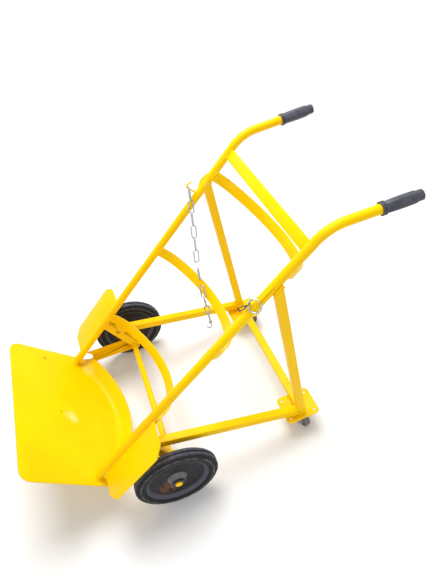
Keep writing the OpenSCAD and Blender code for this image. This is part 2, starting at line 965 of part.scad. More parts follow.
module caster_fork(side) {
    color("#9da0a3")
        fork_place(side)
            difference() {
                union() {
                    translate([0, 0, crown_top])
                        cylinder(d = cup_d, h = cup_h);
                    translate([-leg_in - leg_t, -crown_front, crown_low])
                        cube([2 * (leg_in + leg_t), crown_front + crown_back, crown_t]);
                    for (x = [-leg_in - leg_t, leg_in])
                        translate([x, 0, 0])
                            rotate([90, 0, 90])
                                linear_extrude(leg_t) {
                                    polygon([
                                        [-crown_front, crown_low],
                                        [-crown_front, crown_low - leg_drop],
                                        [caster_trail - leg_r, caster_axle_z - 2],
                                        [caster_trail + leg_r, caster_axle_z],
                                        [crown_back, crown_low]
                                    ]);
                                    translate([caster_trail, caster_axle_z])
                                        circle(r = leg_r);
                                }
                }
                translate([0, 0, crown_low - 1])
                    cylinder(d = pin_d + 2 * run_gap, h = cup_h + crown_t + 2);
                translate([-cut_half, caster_trail, caster_axle_z])
                    rotate([0, 90, 0])
                        cylinder(d = bolt_d, h = 2 * cut_half);
            }
}

// Turns children onto a caster wheel's axle: local z runs along it
module caster_axle(side) {
    fork_place(side)
        translate([0, caster_trail, caster_axle_z])
            rotate([0, 90, 0])
                children();
}

bolt_reach = leg_in + leg_t;
module caster_bolt(side) {
    color("#8f9193")
        caster_axle(side) {
            translate([0, 0, -bolt_reach])
                cylinder(d = bolt_d, h = 2 * bolt_reach + bolt_tail);
            translate([0, 0, -bolt_reach - bolt_head_h])
                cylinder(d = bolt_head * hex_ratio, h = bolt_head_h, $fn = 6);
        }
}

module caster_nut(side) {
    color("#8f9193")
        caster_axle(side)
            translate([0, 0, bolt_reach])
                difference() {
                    cylinder(d = bolt_head * hex_ratio, h = nut_h, $fn = 6);
                    translate([0, 0, -1])
                        cylinder(d = bolt_d, h = nut_h + 2);
                }
}

module caster_sleeve(side) {
    color("#b9bbbd")
        caster_axle(side)
            translate([0, 0, -leg_in])
                difference() {
                    cylinder(d = sleeve_d, h = 2 * leg_in);
                    translate([0, 0, -1])
                        cylinder(d = bolt_d, h = 2 * leg_in + 2);
                }
}

module caster_wheel(side) {
    r = caster_d / 2;
    w = caster_w / 2;
    color("#6e6a64")
        caster_axle(side)
            rotate_extrude()
                polygon([
                    [sleeve_d / 2 + run_gap, -w],
                    [10, -w],
                    [12, -w + 3],
                    [r - 7, -w + 3],
                    [r - 6, -w],
                    [r - 2, -w],
                    [r, -w + 2],
                    [r, w - 2],
                    [r - 2, w],
                    [r - 6, w],
                    [r - 7, w - 3],
                    [12, w - 3],
                    [10, w],
                    [sleeve_d / 2 + run_gap, w]
                ]);
}

// Lugs on the rails

// Local z runs along the rail from s, local y outwards from the rail's axis
module on_rail(side, s, turn) {
    side_frame(side)
        lean()
            translate([0, 0, s])
                rotate([0, 0, 180 + turn])
                    children();
}

// The lens-shaped plate beside the chain hook
module hook_lug() {
    rise = lug_h + cope;
    arch_r = (lug_len * lug_len / 4 + rise * rise) / (2 * rise);
    color("#f4d20c")
        difference() {
            on_rail(-1, hook_lug_at, lug_turn)
                translate([0, rail_r - cope, 0])
                    across(lug_t)
                        intersection() {
                            translate([rise - arch_r, lug_len / 2])
                                circle(r = arch_r);
                            square([rise, lug_len]);
                        }
            side_frame(-1)
                rail_bar(rail_d);
        }
}

// The plate that carries the ring, with an eye at its lower end
ring_seat = 0.8;
eye_out = rail_r + ring_seat + eye_d / 2;
module ring_lug() {
    rise = ring_seat + eye_d + eye_rim + cope;
    color("#f4d20c")
        difference() {
            on_rail(1, ring_lug_at, lug_turn)
                difference() {
                    translate([0, rail_r - cope, 0])
                        across(lug_t)
                            polygon(rounded(
                                [[0, 0], [rise, 0], [rise, 2 * eye_back], [2 * cope, lug_len], [0, lug_len]],
                                [0, eye_back * 0.8, eye_back, 0, 0],
                                8));
                    translate([-lug_t, eye_out, eye_back])
                        rotate([0, 90, 0])
                            cylinder(d = eye_d, h = 2 * lug_t);
                }
            side_frame(1)
                rail_bar(rail_d);
        }
}

// Ring and snap hook: both lie on the rail

ring_r = (ring_d - ring_wire) / 2;
ring_tilt = asin((eye_out - rail_r - ring_wire / 2 - rest_gap) / (2 * ring_r));
// Local y runs from the eye down the rail, local z out of the ring's plane
module ring_place() {
    on_rail(1, ring_lug_at + eye_back, lug_turn)
        translate([0, eye_out, 0])
            rotate([-90 - ring_tilt, 0, 0])
                children();
}

module keeper_ring() {
    color("#b4b9bd")
        ring_place()
            translate([0, ring_r, 0])
                rotate_extrude()
                    translate([ring_r, 0])
                        circle(d = ring_wire);
}

// A closed oval of wire: local y from its first end's wire, of a given length
module oval(length, width, wire) {
    r = (width - wire) / 2;
    for (x = [-r, r])
        translate([x, r, 0])
            rotate([-90, 0, 0])
                cylinder(d = wire, h = length - 2 * r);
    translate([0, r, 0])
        rotate([0, 0, 180])
            rotate_extrude(angle = 180)
                translate([r, 0])
                    rotate(90)
                        circle(d = wire);
    translate([0, length - r, 0])
        rotate_extrude(angle = 180)
            translate([r, 0])
                rotate(90)
                    circle(d = wire);
}

snap_wire = 3;
snap_eye_w = 15;
snap_eye_len = 14;
snap_slack = 0.8;
snap_len = 24;
snap_w = 11;
snap_at = 55;
snap_back = 38;
snap_barrel = 6;
snap_dip = 15;
module snap_hook() {
    start = ((ring_wire + snap_wire) / 2 + rest_gap) / cos(snap_back) + snap_slack;
    color("#6d625a")
        ring_place()
            translate([ring_r * sin(snap_at), ring_r * (1 + cos(snap_at)), 0])
                rotate([0, 0, snap_back - snap_at])
                    rotate([-snap_dip, 0, 0])
                        translate([0, -start, 0]) {
                            rotate([0, 90, 0])
                                oval(snap_eye_len, snap_eye_w, snap_wire);
                            translate([0, snap_eye_len - snap_wire / 2, 0])
                                rotate([-90, 0, 0])
                                    cylinder(d = snap_barrel, h = snap_barrel);
                            translate([0, snap_eye_len + snap_barrel - snap_wire, 0])
                                oval(snap_len, snap_w, snap_wire);
                        }
}

// Chain: it hangs on its hook, drapes over the middle band and hangs down

// Points of the cart from the side frame's and from the middle frame's own axes
function side_point(side, p) = [
    side * (rail_half + p[0] * cos(splay) + p[1] * sin(splay)),
    axle_y - p[0] * sin(splay) + p[1] * cos(splay),
    p[2]
];
function middle_point(x, w, s) = [
    x,
    axle_y + rail_y(s) + w * lean_z,
    rail_z(s) - w * lean_y
];

middle_s = band_low + band_pitch;
// Point over the middle band's inner face: a is the angle round its wide arc
function over_band(a, s, gap) =
    let (
        wide_r = band_wide_r(middle_s),
        r = wide_r - strip_t / 2 - gap
    )
    middle_point(-r * sin(a), band_deep - wide_r + r * cos(a), s);

y_axis = [0, 1, 0];
lower_way = [0, 0, -1];
hang_gap = wire_d + rest_gap;
link_r = (link_w - wire_d) / 2;
hook_point = side_point(-1, [
    0,
    rail_y(hook_at) - hook_seat * lean_z,
    rail_z(hook_at) + hook_seat * lean_y
]);
drape_in = over_band(drape_in_at, middle_s + strip_w / 2, drape_gap);
drape_out = over_band(drape_out_at, middle_s - strip_w / 2 + drape_short, drape_gap);

// The first link rests on the hook's stem, which passes through it at a slant
upper_way = unit(drape_in - hook_point);
stem_way = side_point(-1, [0, -lean_z, lean_y]) - side_point(-1, [0, 0, 0]);
stem_slant = abs(upper_way * unit(cross(stem_way, cross(upper_way, y_axis))));
hook_lift = ((hook_rod_d + wire_d) / 2 + rest_gap) / stem_slant;
upper_start = hook_point - upper_way * (hook_lift - hang_gap / 2);
hanging_links = round(norm(drape_in - upper_start) / link_pitch);

// At the upper turn the next link lies in the end curve of the last one. Across
// the band the links twist by less than a quarter turn each.
drape_twist = 60;
upper_turn = upper_start + upper_way * (link_pitch * hanging_links + hang_gap / 2 - link_r);
drape_way = unit(drape_out - upper_turn);
drape_start = upper_turn + drape_way * (link_r - hang_gap / 2);
draped_links = round(norm(drape_out - drape_start) / link_pitch);

// At the lower turn the next link goes round the end of the last one
turn_gap = 0.6;
swing_point = drape_start + drape_way * (link_pitch * draped_links + hang_gap / 2);
lower_start = swing_point - lower_way * (hang_gap / 2 + turn_gap);

// Turns local y into way, with local x as near to aim as it can be
module point_along(at, way, aim) {
    x = unit(aim - way * (aim * way));
    z = cross(x, way);
    translate(at)
        rotate([atan2(way[2], z[2]), -asin(x[2]), atan2(x[1], x[0])])
            children();
}

// A closed oval ring of wire, swept round both ends of a link
link_sides = 8;
link_bends = 9;
link_rings = 2 * link_bends;
link_len = link_pitch + hang_gap;
function link_corner(i, j) =
    let (
        far = i < link_bends,
        a = 180 * (far ? i : i - 1) / (link_bends - 1),
        b = 360 * j / link_sides,
        reach = link_r + wire_d / 2 * cos(b)
    )
    [reach * cos(a), (far ? link_len - link_r : link_r) + reach * sin(a), wire_d / 2 * sin(b)];
module link_ring() {
    polyhedron(
        points = [for (i = [0 : link_rings - 1]) for (j = [0 : link_sides - 1]) link_corner(i, j)],
        faces = [for (i = [0 : link_rings - 1]) for (j = [0 : link_sides - 1])
            let (
                a = i * link_sides + j,
                b = i * link_sides + (j + 1) % link_sides,
                c = (i + 1) % link_rings * link_sides + (j + 1) % link_sides,
                d = (i + 1) % link_rings * link_sides + j
            )
            each [[a, b, c], [a, c, d]]]
    );
}

// A link between two joints of the chain, turned about its own length
function link_aim(way, turn) = y_axis * cos(turn) + unit(cross(way, y_axis)) * sin(turn);
module link(from, way, turn) {
    point_along(from - way * hang_gap / 2, way, link_aim(way, turn))
        link_ring();
}
drape_turn = 90 * hanging_links;
lower_turn = drape_turn + drape_twist * (draped_links + 1);

module chain_upper_links() {
    color("#b9bdc1") {
        for (i = [0 : hanging_links - 1])
            link(upper_start + upper_way * link_pitch * i, upper_way, 90 * (i + 1));
        for (i = [0 : draped_links - 1])
            link(
                drape_start + drape_way * link_pitch * i,
                drape_way,
                drape_turn + drape_twist * (i + 1));
    }
}

module chain_lower_links() {
    color("#b9bdc1")
        for (i = [0 : lower_links - 1])
            link(lower_start + lower_way * link_pitch * i, lower_way, lower_turn + 90 * i);
}

// The chain's end hook: an eye with an open hook below it
end_wire = 4;
end_eye_w = 14;
end_r = 7;
end_stem = 14;
end_turn = 215;
module chain_end_hook() {
    from = lower_start + lower_way * link_pitch * lower_links;
    color("#a5a8aa")
        point_along(
            from - lower_way * (end_wire + rest_gap) / 2,
            lower_way,
            link_aim(lower_way, lower_turn + 90 * lower_links)
        ) {
            translate([0, (end_eye_w - end_wire) / 2, 0])
                rotate_extrude()
                    translate([(end_eye_w - end_wire) / 2, 0])
                        circle(d = end_wire);
            translate([0, end_eye_w - 1.5 * end_wire, 0])
                rotate([-90, 0, 0])
                    cylinder(d = end_wire, h = end_stem);
            translate([-end_r, end_eye_w - 1.5 * end_wire + end_stem, 0])
                rotate_extrude(angle = end_turn)
                    translate([end_r, 0])
                        rotate(90)
                            circle(d = end_wire);
        }
}

// The chain hook: a bent rod that stands out of the rail and turns up. Its tip is
// drawn a little thinner than the rod and starts inside the bend.
tip_ease = 0.2;
tip_root = 1;
module chain_hook() {
    color("#f4d20c")
        difference() {
            side_frame(-1)
                lean()
                    translate([0, 0, hook_at])
                        rotate([180, 90, 0]) {
                            rotate([-90, 0, 0])
                                cylinder(d = hook_rod_d, h = hook_reach);
                            translate([-hook_bend_r, hook_reach, 0]) {
                                rotate_extrude(angle = hook_bend)
                                    translate([hook_bend_r, 0])
                                        rotate(90)
                                            circle(d = hook_rod_d);
                                rotate([0, 0, hook_bend])
                                    translate([hook_bend_r, -tip_root, 0])
                                        rotate([-90, 0, 0])
                                            cylinder(
                                                d = hook_rod_d - 2 * tip_ease,
                                                h = hook_tip + tip_root);
                            }
                        }
            side_frame(-1)
                rail_bar(rail_d);
        }
}

// Nodes

rail(-1);  // left_rail
rail(1);  // right_rail
grip(-1);  // left_grip
grip(1);  // right_grip
cylinder_dish();
wheel_guard(-1);  // left_wheel_guard
wheel_guard(1);  // right_wheel_guard
top_crossbar();
band(band_low + 2 * band_pitch);  // upper_band
band(band_low + band_pitch);  // middle_band
band(band_low);  // lower_band
base_tube(-1);  // left_base_tube
base_tube(1);  // right_base_tube
post(-1);  // left_post
post(1);  // right_post
rear_cross_tube();
axle_strut(-1);  // left_axle_strut
axle_strut(1);  // right_axle_strut
foot_angle(-1);  // left_foot_angle
foot_angle(1);  // right_foot_angle
axle_bar();
axle_collars();
axle_washers();
axle_clips();
tyre(-1);  // left_tyre
tyre(1);  // right_tyre
wheel_disc(-1);  // left_wheel_disc
wheel_disc(1);  // right_wheel_disc
hub_bushes(-1);  // left_hub_bushes
hub_bushes(1);  // right_hub_bushes
caster_plate(-1);  // left_caster_plate
caster_plate(1);  // right_caster_plate
kingpin(-1);  // left_kingpin
kingpin(1);  // right_kingpin
caster_fork(-1);  // left_caster_fork
caster_fork(1);  // right_caster_fork
caster_bolt(-1);  // left_caster_bolt
caster_bolt(1);  // right_caster_bolt
caster_nut(-1);  // left_caster_nut
caster_nut(1);  // right_caster_nut
caster_wheel(-1);  // left_caster_wheel
caster_wheel(1);  // right_caster_wheel
caster_sleeve(-1);  // left_caster_sleeve
caster_sleeve(1);  // right_caster_sleeve
hook_lug();
chain_hook();
chain_upper_links();
chain_lower_links();
chain_end_hook();
ring_lug();
keeper_ring();
snap_hook();
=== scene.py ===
# Gas cylinder cart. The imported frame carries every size; this script gives each piece its
# finish and models the pieces whose soft edges, weld beads and turned forms show.
import json
import math
import random

import bmesh
import bpy
from mathutils import Matrix, Vector

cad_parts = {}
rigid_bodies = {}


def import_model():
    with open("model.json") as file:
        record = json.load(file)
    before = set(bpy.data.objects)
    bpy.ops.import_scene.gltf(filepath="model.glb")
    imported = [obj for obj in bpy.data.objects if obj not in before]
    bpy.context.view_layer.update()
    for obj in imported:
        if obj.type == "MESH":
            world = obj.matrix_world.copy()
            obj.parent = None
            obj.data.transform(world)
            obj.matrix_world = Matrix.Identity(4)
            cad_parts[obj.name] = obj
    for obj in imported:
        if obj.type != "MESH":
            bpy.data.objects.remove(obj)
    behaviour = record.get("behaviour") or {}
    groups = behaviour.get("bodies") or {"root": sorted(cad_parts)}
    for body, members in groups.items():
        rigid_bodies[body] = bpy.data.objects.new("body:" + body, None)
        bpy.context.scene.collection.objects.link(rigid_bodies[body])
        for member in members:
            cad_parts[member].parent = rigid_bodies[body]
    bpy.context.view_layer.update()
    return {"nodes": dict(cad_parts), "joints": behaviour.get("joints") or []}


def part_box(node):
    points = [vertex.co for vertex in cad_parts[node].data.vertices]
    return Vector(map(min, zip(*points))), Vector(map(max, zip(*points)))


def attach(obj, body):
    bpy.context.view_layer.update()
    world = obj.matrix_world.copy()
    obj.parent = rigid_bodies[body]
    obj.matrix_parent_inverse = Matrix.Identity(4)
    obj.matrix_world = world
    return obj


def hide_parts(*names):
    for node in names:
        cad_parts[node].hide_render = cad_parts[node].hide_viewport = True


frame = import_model()
random.seed(7)

# Driving sizes of the cart, in metres and radians
LEAN = math.radians(40)
SPLAY = math.radians(1.9)
RAIL_R = 0.0125
RAIL_HALF = 0.236
RAIL_AHEAD = 0.216
RAIL_FOOT_Z = 0.148
RAIL_LEN = 0.98
BEND_R = 0.12
HANDLE_LEN = 0.233
GRIP_LEN = 0.106
GRIP_WALL = 0.003
TUBE = 0.025
TUBE_ROUND = 0.003
TUBE_OUT = 0.005
STRIP_W = 0.032
STRIP_T = 0.005
BAND_LOW = 0.238
BAND_PITCH = 0.299
CROSSBAR_AT = 0.914
GUARD_T = 0.004
GUARD_LOW = 0.043
GUARD_LEN = 0.246
PLATE_TOP = 0.075
WIRE_D = 0.0045
WELD_R = 0.0026
SIDES = {"left": -1, "right": 1}


def middle_of(node):
    low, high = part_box(node)
    return (low + high) / 2


AXLE = middle_of("axle_bar")


# Places: a side frame, a rail and the leaning frame


def side_point(side, x, y, z):
    """A point of a side frame: x outward from the rail's plane, y from the axle, z from the floor."""
    across = RAIL_HALF + x * math.cos(SPLAY) + y * math.sin(SPLAY)
    along = AXLE.y - x * math.sin(SPLAY) + y * math.cos(SPLAY)
    return Vector((SIDES[side] * across, along, z))


def lean_yz(s, w):
    """Side view of a point s up the rails and w behind them."""
    y = -RAIL_AHEAD + s * math.cos(LEAN) + w * math.sin(LEAN)
    z = RAIL_FOOT_Z + s * math.sin(LEAN) - w * math.cos(LEAN)
    return y, z


def rail_point(side, x, w, s):
    """A point beside a rail: x outward, w behind it and s up from its foot."""
    return side_point(side, x, *lean_yz(s, w))


def rail_x(s):
    """Distance of a rail's centreline from the middle of the cart."""
    return RAIL_HALF + lean_yz(s, 0)[0] * math.tan(SPLAY)


def lean_point(x, w, s):
    """A point of the leaning frame in the middle of the cart."""
    y, z = lean_yz(s, w)
    return Vector((x, AXLE.y + y, z))


# Modelling helpers


def deselect():
    bpy.ops.object.select_all(action="DESELECT")


def only(piece):
    deselect()
    piece.select_set(True)
    bpy.context.view_layer.objects.active = piece


def settle(piece, place=None):
    """Moves a piece to its place and applies it, so that the object ends at the origin."""
    if place is not None:
        piece.matrix_world = place @ piece.matrix_world
    only(piece)
    bpy.ops.object.transform_apply(location=True, rotation=True, scale=True)


def edit(piece):
    only(piece)
    bpy.ops.object.mode_set(mode="EDIT")


def leave_edit():
    bpy.ops.object.mode_set(mode="OBJECT")


def face_outward(piece):
    edit(piece)
    bpy.ops.mesh.select_all(action="SELECT")
    bpy.ops.mesh.remove_doubles(threshold=1e-6)
    bpy.ops.mesh.normals_make_consistent(inside=False)
    leave_edit()


def smooth(piece, angle=35):
    only(piece)
    bpy.ops.object.shade_smooth_by_angle(angle=math.radians(angle))


def soften(piece, width, angle=30, segments=3):
    """Rounds every edge that is sharper than the angle."""
    only(piece)
    bevel = piece.modifiers.new("soft_edges", "BEVEL")
    bevel.width = width
    bevel.segments = segments
    bevel.limit_method = "ANGLE"
    bevel.angle_limit = math.radians(angle)
    bevel.miter_outer = "MITER_ARC"
    bpy.ops.object.modifier_apply(modifier=bevel.name)


def join(pieces):
    only(pieces[0])
    for piece in pieces[1:]:
        piece.select_set(True)
    bpy.ops.object.join()
    return bpy.context.object


def along(start, way, aim):
    """Place whose z axis runs along way and whose x axis is as near to aim as it can be."""
    z = way.normalized()
    x = (aim - z * aim.dot(z)).normalized()
    y = z.cross(x)
    turn = Matrix((x, y, z)).transposed().to_4x4()
    return Matrix.Translation(start) @ turn


def turned(name, profile, place, steps=96):
    """A turned piece: its profile of radius and height is drawn by extruding and then spun."""
    deselect()
    bpy.ops.mesh.primitive_plane_add(size=0.01)
    piece = bpy.context.object
    piece.name = name
    bpy.ops.object.mode_set(mode="EDIT")
    bpy.ops.mesh.select_mode(type="VERT")
    bpy.ops.mesh.merge(type="CENTER")
    bpy.ops.transform.translate(value=(profile[0][0], 0, profile[0][1]))
    for last, point in zip(profile, profile[1:]):
        step = (point[0] - last[0], 0, point[1] - last[1])
        bpy.ops.mesh.extrude_region_move(TRANSFORM_OT_translate={"value": step})
    bpy.ops.mesh.select_all(action="SELECT")
    bpy.ops.mesh.spin(steps=steps, angle=2 * math.pi, center=(0, 0, 0), axis=(0, 0, 1))
    leave_edit()
    settle(piece, place)
    face_outward(piece)
    return piece


def rod(name, points, radius, sides=16, closed=False, radii=None):
    """A round rod along points, made as a bevelled curve and turned into a mesh."""
    deselect()
    curve = bpy.data.curves.new(name, "CURVE")
    curve.dimensions = "3D"
    curve.bevel_depth = radius
    curve.bevel_resolution = sides // 4 - 1
    curve.use_fill_caps = not closed
    line = curve.splines.new("POLY")
    line.points.add(len(points) - 1)
    for i, point in enumerate(points):
        line.points[i].co = (*point, 1)
        line.points[i].radius = radii[i] if radii else 1
    line.use_cyclic_u = closed
    piece = bpy.data.objects.new(name, curve)
    bpy.context.collection.objects.link(piece)
    only(piece)
    bpy.ops.object.convert(target="MESH")
    piece = bpy.context.object
    face_outward(piece)
    smooth(piece, 50)
    return piece


def square_bar(name, start, end, aim, size=TUBE):
    """A square tube with rounded long edges from start to end, one side facing aim."""
    deselect()
    bpy.ops.mesh.primitive_cube_add(size=1)
    piece = bpy.context.object
    piece.name = name
    run = end - start
    piece.scale = (size, size, run.length)
    settle(piece)
    edit(piece)
    bpy.ops.mesh.select_all(action="DESELECT")
    bpy.ops.mesh.select_mode(type="EDGE")
    leave_edit()
    for edge in piece.data.edges:
        a, b = (piece.data.vertices[i].co for i in edge.vertices)
        edge.select = abs(a.z - b.z) > size / 2
    edit(piece)
    bpy.ops.mesh.bevel(offset=TUBE_ROUND, segments=4, affect="EDGES")
    leave_edit()
    settle(piece, along((start + end) / 2, run, aim))
    return piece


def trim(piece, point, normal):
    """Cuts away what lies beyond a plane and closes the cut."""
    edit(piece)
    bpy.ops.mesh.select_all(action="SELECT")
    bpy.ops.mesh.bisect(plane_co=point, plane_no=normal, use_fill=True, clear_outer=True)
    leave_edit()


def copy_of(node, name):
    """A merged copy of a CAD node's mesh, whose flat faces are whole again."""
    source = frame["nodes"][node]
    piece = bpy.data.objects.new(name, source.data.copy())
    bpy.context.collection.objects.link(piece)
    piece.data.materials.clear()
    edit(piece)
    bpy.ops.mesh.select_all(action="SELECT")
    bpy.ops.mesh.remove_doubles(threshold=2e-6)
    bpy.ops.mesh.customdata_custom_splitnormals_clear()
    bpy.ops.mesh.dissolve_limited(angle_limit=math.radians(0.4))
    leave_edit()
    return piece


# Finishes: procedural patterns on object coordinates


class Finish:
    """One shader with its patterns; lengths are in metres."""

    def __init__(self, name, metal=0.0, coat=0.0, specular=0.5):
        self.material = bpy.data.materials.new(name)
        self.material.use_nodes = True
        self.tree = self.material.node_tree
        self.shader = self.tree.nodes["Principled BSDF"]
        self.shader.inputs["Metallic"].default_value = metal
        self.shader.inputs["Coat Weight"].default_value = coat
        self.shader.inputs["Coat Roughness"].default_value = 0.08
        self.shader.inputs["Specular IOR Level"].default_value = specular
        self.place = self.node("ShaderNodeTexCoord").outputs["Object"]

    def node(self, kind):
        return self.tree.nodes.new(kind)

    def link(self, source, target):
        self.tree.links.new(source, target)

    def noise(self, size, detail=4, rough=0.55, stretch=None):
        """Noise whose blotches are about size across."""
        noise = self.node("ShaderNodeTexNoise")
        noise.inputs["Scale"].default_value = 1 / size
        noise.inputs["Detail"].default_value = detail
        noise.inputs["Roughness"].default_value = rough
        place = self.place
        if stretch:
            mapping = self.node("ShaderNodeMapping")
            mapping.inputs["Rotation"].default_value = stretch[0]
            mapping.inputs["Scale"].default_value = stretch[1]
            self.link(place, mapping.inputs["Vector"])
            place = mapping.outputs["Vector"]
        self.link(place, noise.inputs["Vector"])
        return noise.outputs["Fac"]

    def ramp(self, source, stops):
        """Maps a value to a value or colour by stops of (place, value)."""
        ramp = self.node("ShaderNodeValToRGB")
        while len(ramp.color_ramp.elements) < len(stops):
            ramp.color_ramp.elements.new(0.5)
        for element, (at, value) in zip(ramp.color_ramp.elements, stops):
            element.position = at
            element.color = (*value, 1) if isinstance(value, tuple) else (value, value, value, 1)
        self.link(source, ramp.inputs["Fac"])
        return ramp.outputs["Color"]

    def mix(self, factor, first, second):
        """Blends two colours, each a socket or a plain colour."""
        mix = self.node("ShaderNodeMix")
        mix.data_type = "RGBA"
        self.link(factor, mix.inputs["Factor"])
        for value, socket in ((first, mix.inputs["A"]), (second, mix.inputs["B"])):
            if isinstance(value, tuple):
                socket.default_value = (*value, 1)
            else:
                self.link(value, socket)
        return mix.outputs["Result"]

    def times(self, first, second):
        node = self.node("ShaderNodeMath")
        node.operation = "MULTIPLY"
        for value, socket in ((first, node.inputs[0]), (second, node.inputs[1])):
            if isinstance(value, float):
                socket.default_value = value
            else:
                self.link(value, socket)
        return node.outputs[0]

    def spots(self, spacing, size, share):
        """Small scattered spots: a share of the cells of a given spacing holds one each."""
        cells = self.node("ShaderNodeTexVoronoi")
        cells.inputs["Scale"].default_value = 1 / spacing
        warp = self.node("ShaderNodeVectorMath")
        warp.operation = "MULTIPLY_ADD"
        wobble = self.node("ShaderNodeTexNoise")
        wobble.inputs["Scale"].default_value = 2 / size
        self.link(self.place, wobble.inputs["Vector"])
        self.link(wobble.outputs["Color"], warp.inputs[0])
        warp.inputs[1].default_value = (size, size, size)
        self.link(self.place, warp.inputs[2])
        self.link(warp.outputs["Vector"], cells.inputs["Vector"])
        near = self.ramp(cells.outputs["Distance"], [(size / spacing * 0.7, 1.0), (size / spacing, 0.0)])
        pick = self.node("ShaderNodeSeparateColor")
        self.link(cells.outputs["Color"], pick.inputs["Color"])
        chosen = self.ramp(pick.outputs["Red"], [(share, 1.0), (share + 0.01, 0.0)])
        return self.times(near, chosen)

    def near(self, spot, inner, outer):
        """One inside the inner distance of a spot, nothing beyond the outer distance."""
        gap = self.node("ShaderNodeVectorMath")
        gap.operation = "DISTANCE"
        self.link(self.place, gap.inputs[0])
        gap.inputs[1].default_value = spot
        return self.ramp(gap.outputs["Value"], [(inner, 1.0), (outer, 0.0)])

    def off_axle(self, y=0.0, z=0.0):
        """Distance from the wheels' axis, or from a line beside it."""
        centre = self.node("ShaderNodeVectorMath")
        centre.operation = "SUBTRACT"
        self.link(self.place, centre.inputs[0])
        centre.inputs[1].default_value = (0, AXLE.y + y, AXLE.z + z)
        flat = self.node("ShaderNodeVectorMath")
        flat.operation = "MULTIPLY"
        self.link(centre.outputs["Vector"], flat.inputs[0])
        flat.inputs[1].default_value = (0, 1, 1)
        length = self.node("ShaderNodeVectorMath")
        length.operation = "LENGTH"
        self.link(flat.outputs["Vector"], length.inputs[0])
        return length.outputs["Value"]

    def colour(self, source):
        self.link(source, self.shader.inputs["Base Color"])

    def gloss(self, source):
        self.link(source, self.shader.inputs["Roughness"])

    def bump(self, *layers):
        """Raises the surface by layers of (height source, depth in metres)."""
        last = None
        for source, depth in layers:
            bump = self.node("ShaderNodeBump")
            bump.inputs["Distance"].default_value = depth
            self.link(source, bump.inputs["Height"])
            if last:
                self.link(last, bump.inputs["Normal"])
            last = bump.outputs["Normal"]
        self.link(last, self.shader.inputs["Normal"])


# Marks on the dish: place across and behind the rails, and size
DISH_CHIPS = [(-0.217, -0.119, 0.0045), (0.005, -0.087, 0.0026), (0.002, -0.068, 0.0032)]
DISH_SCUFFS = [(0.017, -0.057, 0.024), (-0.205, 0.052, 0.034), (0.030, -0.045, 0.018)]


def yellow_enamel():
    finish = Finish("yellow_enamel", specular=0.1)
    broad = finish.noise(0.22, detail=3)
    tone = finish.ramp(broad, [(0.35, (0.93, 0.545, 0.0)), (0.65, (0.97, 0.62, 0.0))])
    streaks = finish.noise(0.05, detail=5, stretch=((0.5, 0.2, 0.9), (0.25, 1.0, 1.0)))
    scuffed = finish.ramp(streaks, [(0.66, 0.0), (0.76, 0.4)])
    tone = finish.mix(scuffed, tone, (0.97, 0.72, 0.06))
    grime = finish.ramp(finish.noise(0.05, detail=8, rough=0.68), [(0.66, 0.0), (0.82, 0.3)])
    tone = finish.mix(grime, tone, (0.60, 0.33, 0.01))
    chips = finish.spots(0.075, 0.0022, 0.11)
    tone = finish.mix(chips, tone, (0.10, 0.045, 0.02))
    for x, w, size in DISH_CHIPS:
        chip = finish.near(lean_point(x, w, 0), size * 0.7, size)
        tone = finish.mix(chip, tone, (0.12, 0.055, 0.02))
    rubbing = finish.ramp(finish.noise(0.004, detail=6), [(0.42, 0.0), (0.62, 0.85)])
    for x, w, size in DISH_SCUFFS:
        scuff = finish.times(finish.near(lean_point(x, w, 0), size * 0.2, size), rubbing)
        tone = finish.mix(scuff, tone, (0.96, 0.86, 0.42))
    worn = finish.ramp(finish.noise(0.012, detail=6), [(0.48, 0.0), (0.62, 0.5)])
    stain = finish.times(finish.near(lean_point(0.027, 0.085, 0), 0.008, 0.04), worn)
    tone = finish.mix(stain, tone, (0.86, 0.36, 0.0))
    finish.colour(tone)
    finish.gloss(finish.ramp(finish.noise(0.06, detail=4), [(0.3, 0.25), (0.75, 0.38)]))
    wave = finish.noise(0.03, detail=1)
    chip_edge = finish.ramp(chips, [(0.0, 1.0), (1.0, 0.0)])
    finish.bump((wave, 0.0001), (chip_edge, 0.0001))
    return finish.material


def grip_rubber():
    finish = Finish("grip_rubber", specular=0.45)
    tone = finish.ramp(finish.noise(0.02, detail=6), [(0.3, (0.028, 0.029, 0.038)), (0.75, (0.070, 0.072, 0.098))])
    scuffs = finish.ramp(
        finish.noise(0.012, detail=8, rough=0.7, stretch=((0.0, 0.0, 0.0), (1.0, 0.3, 1.0))),
        [(0.6, 0.0), (0.78, 0.5)],
    )
    finish.colour(finish.mix(scuffs, tone, (0.13, 0.12, 0.12)))
    finish.gloss(finish.ramp(finish.noise(0.01, detail=5), [(0.3, 0.38), (0.7, 0.58)]))
    finish.bump((finish.noise(0.0008, detail=2), 0.00012), (finish.noise(0.009, detail=3), 0.0003))
    return finish.material


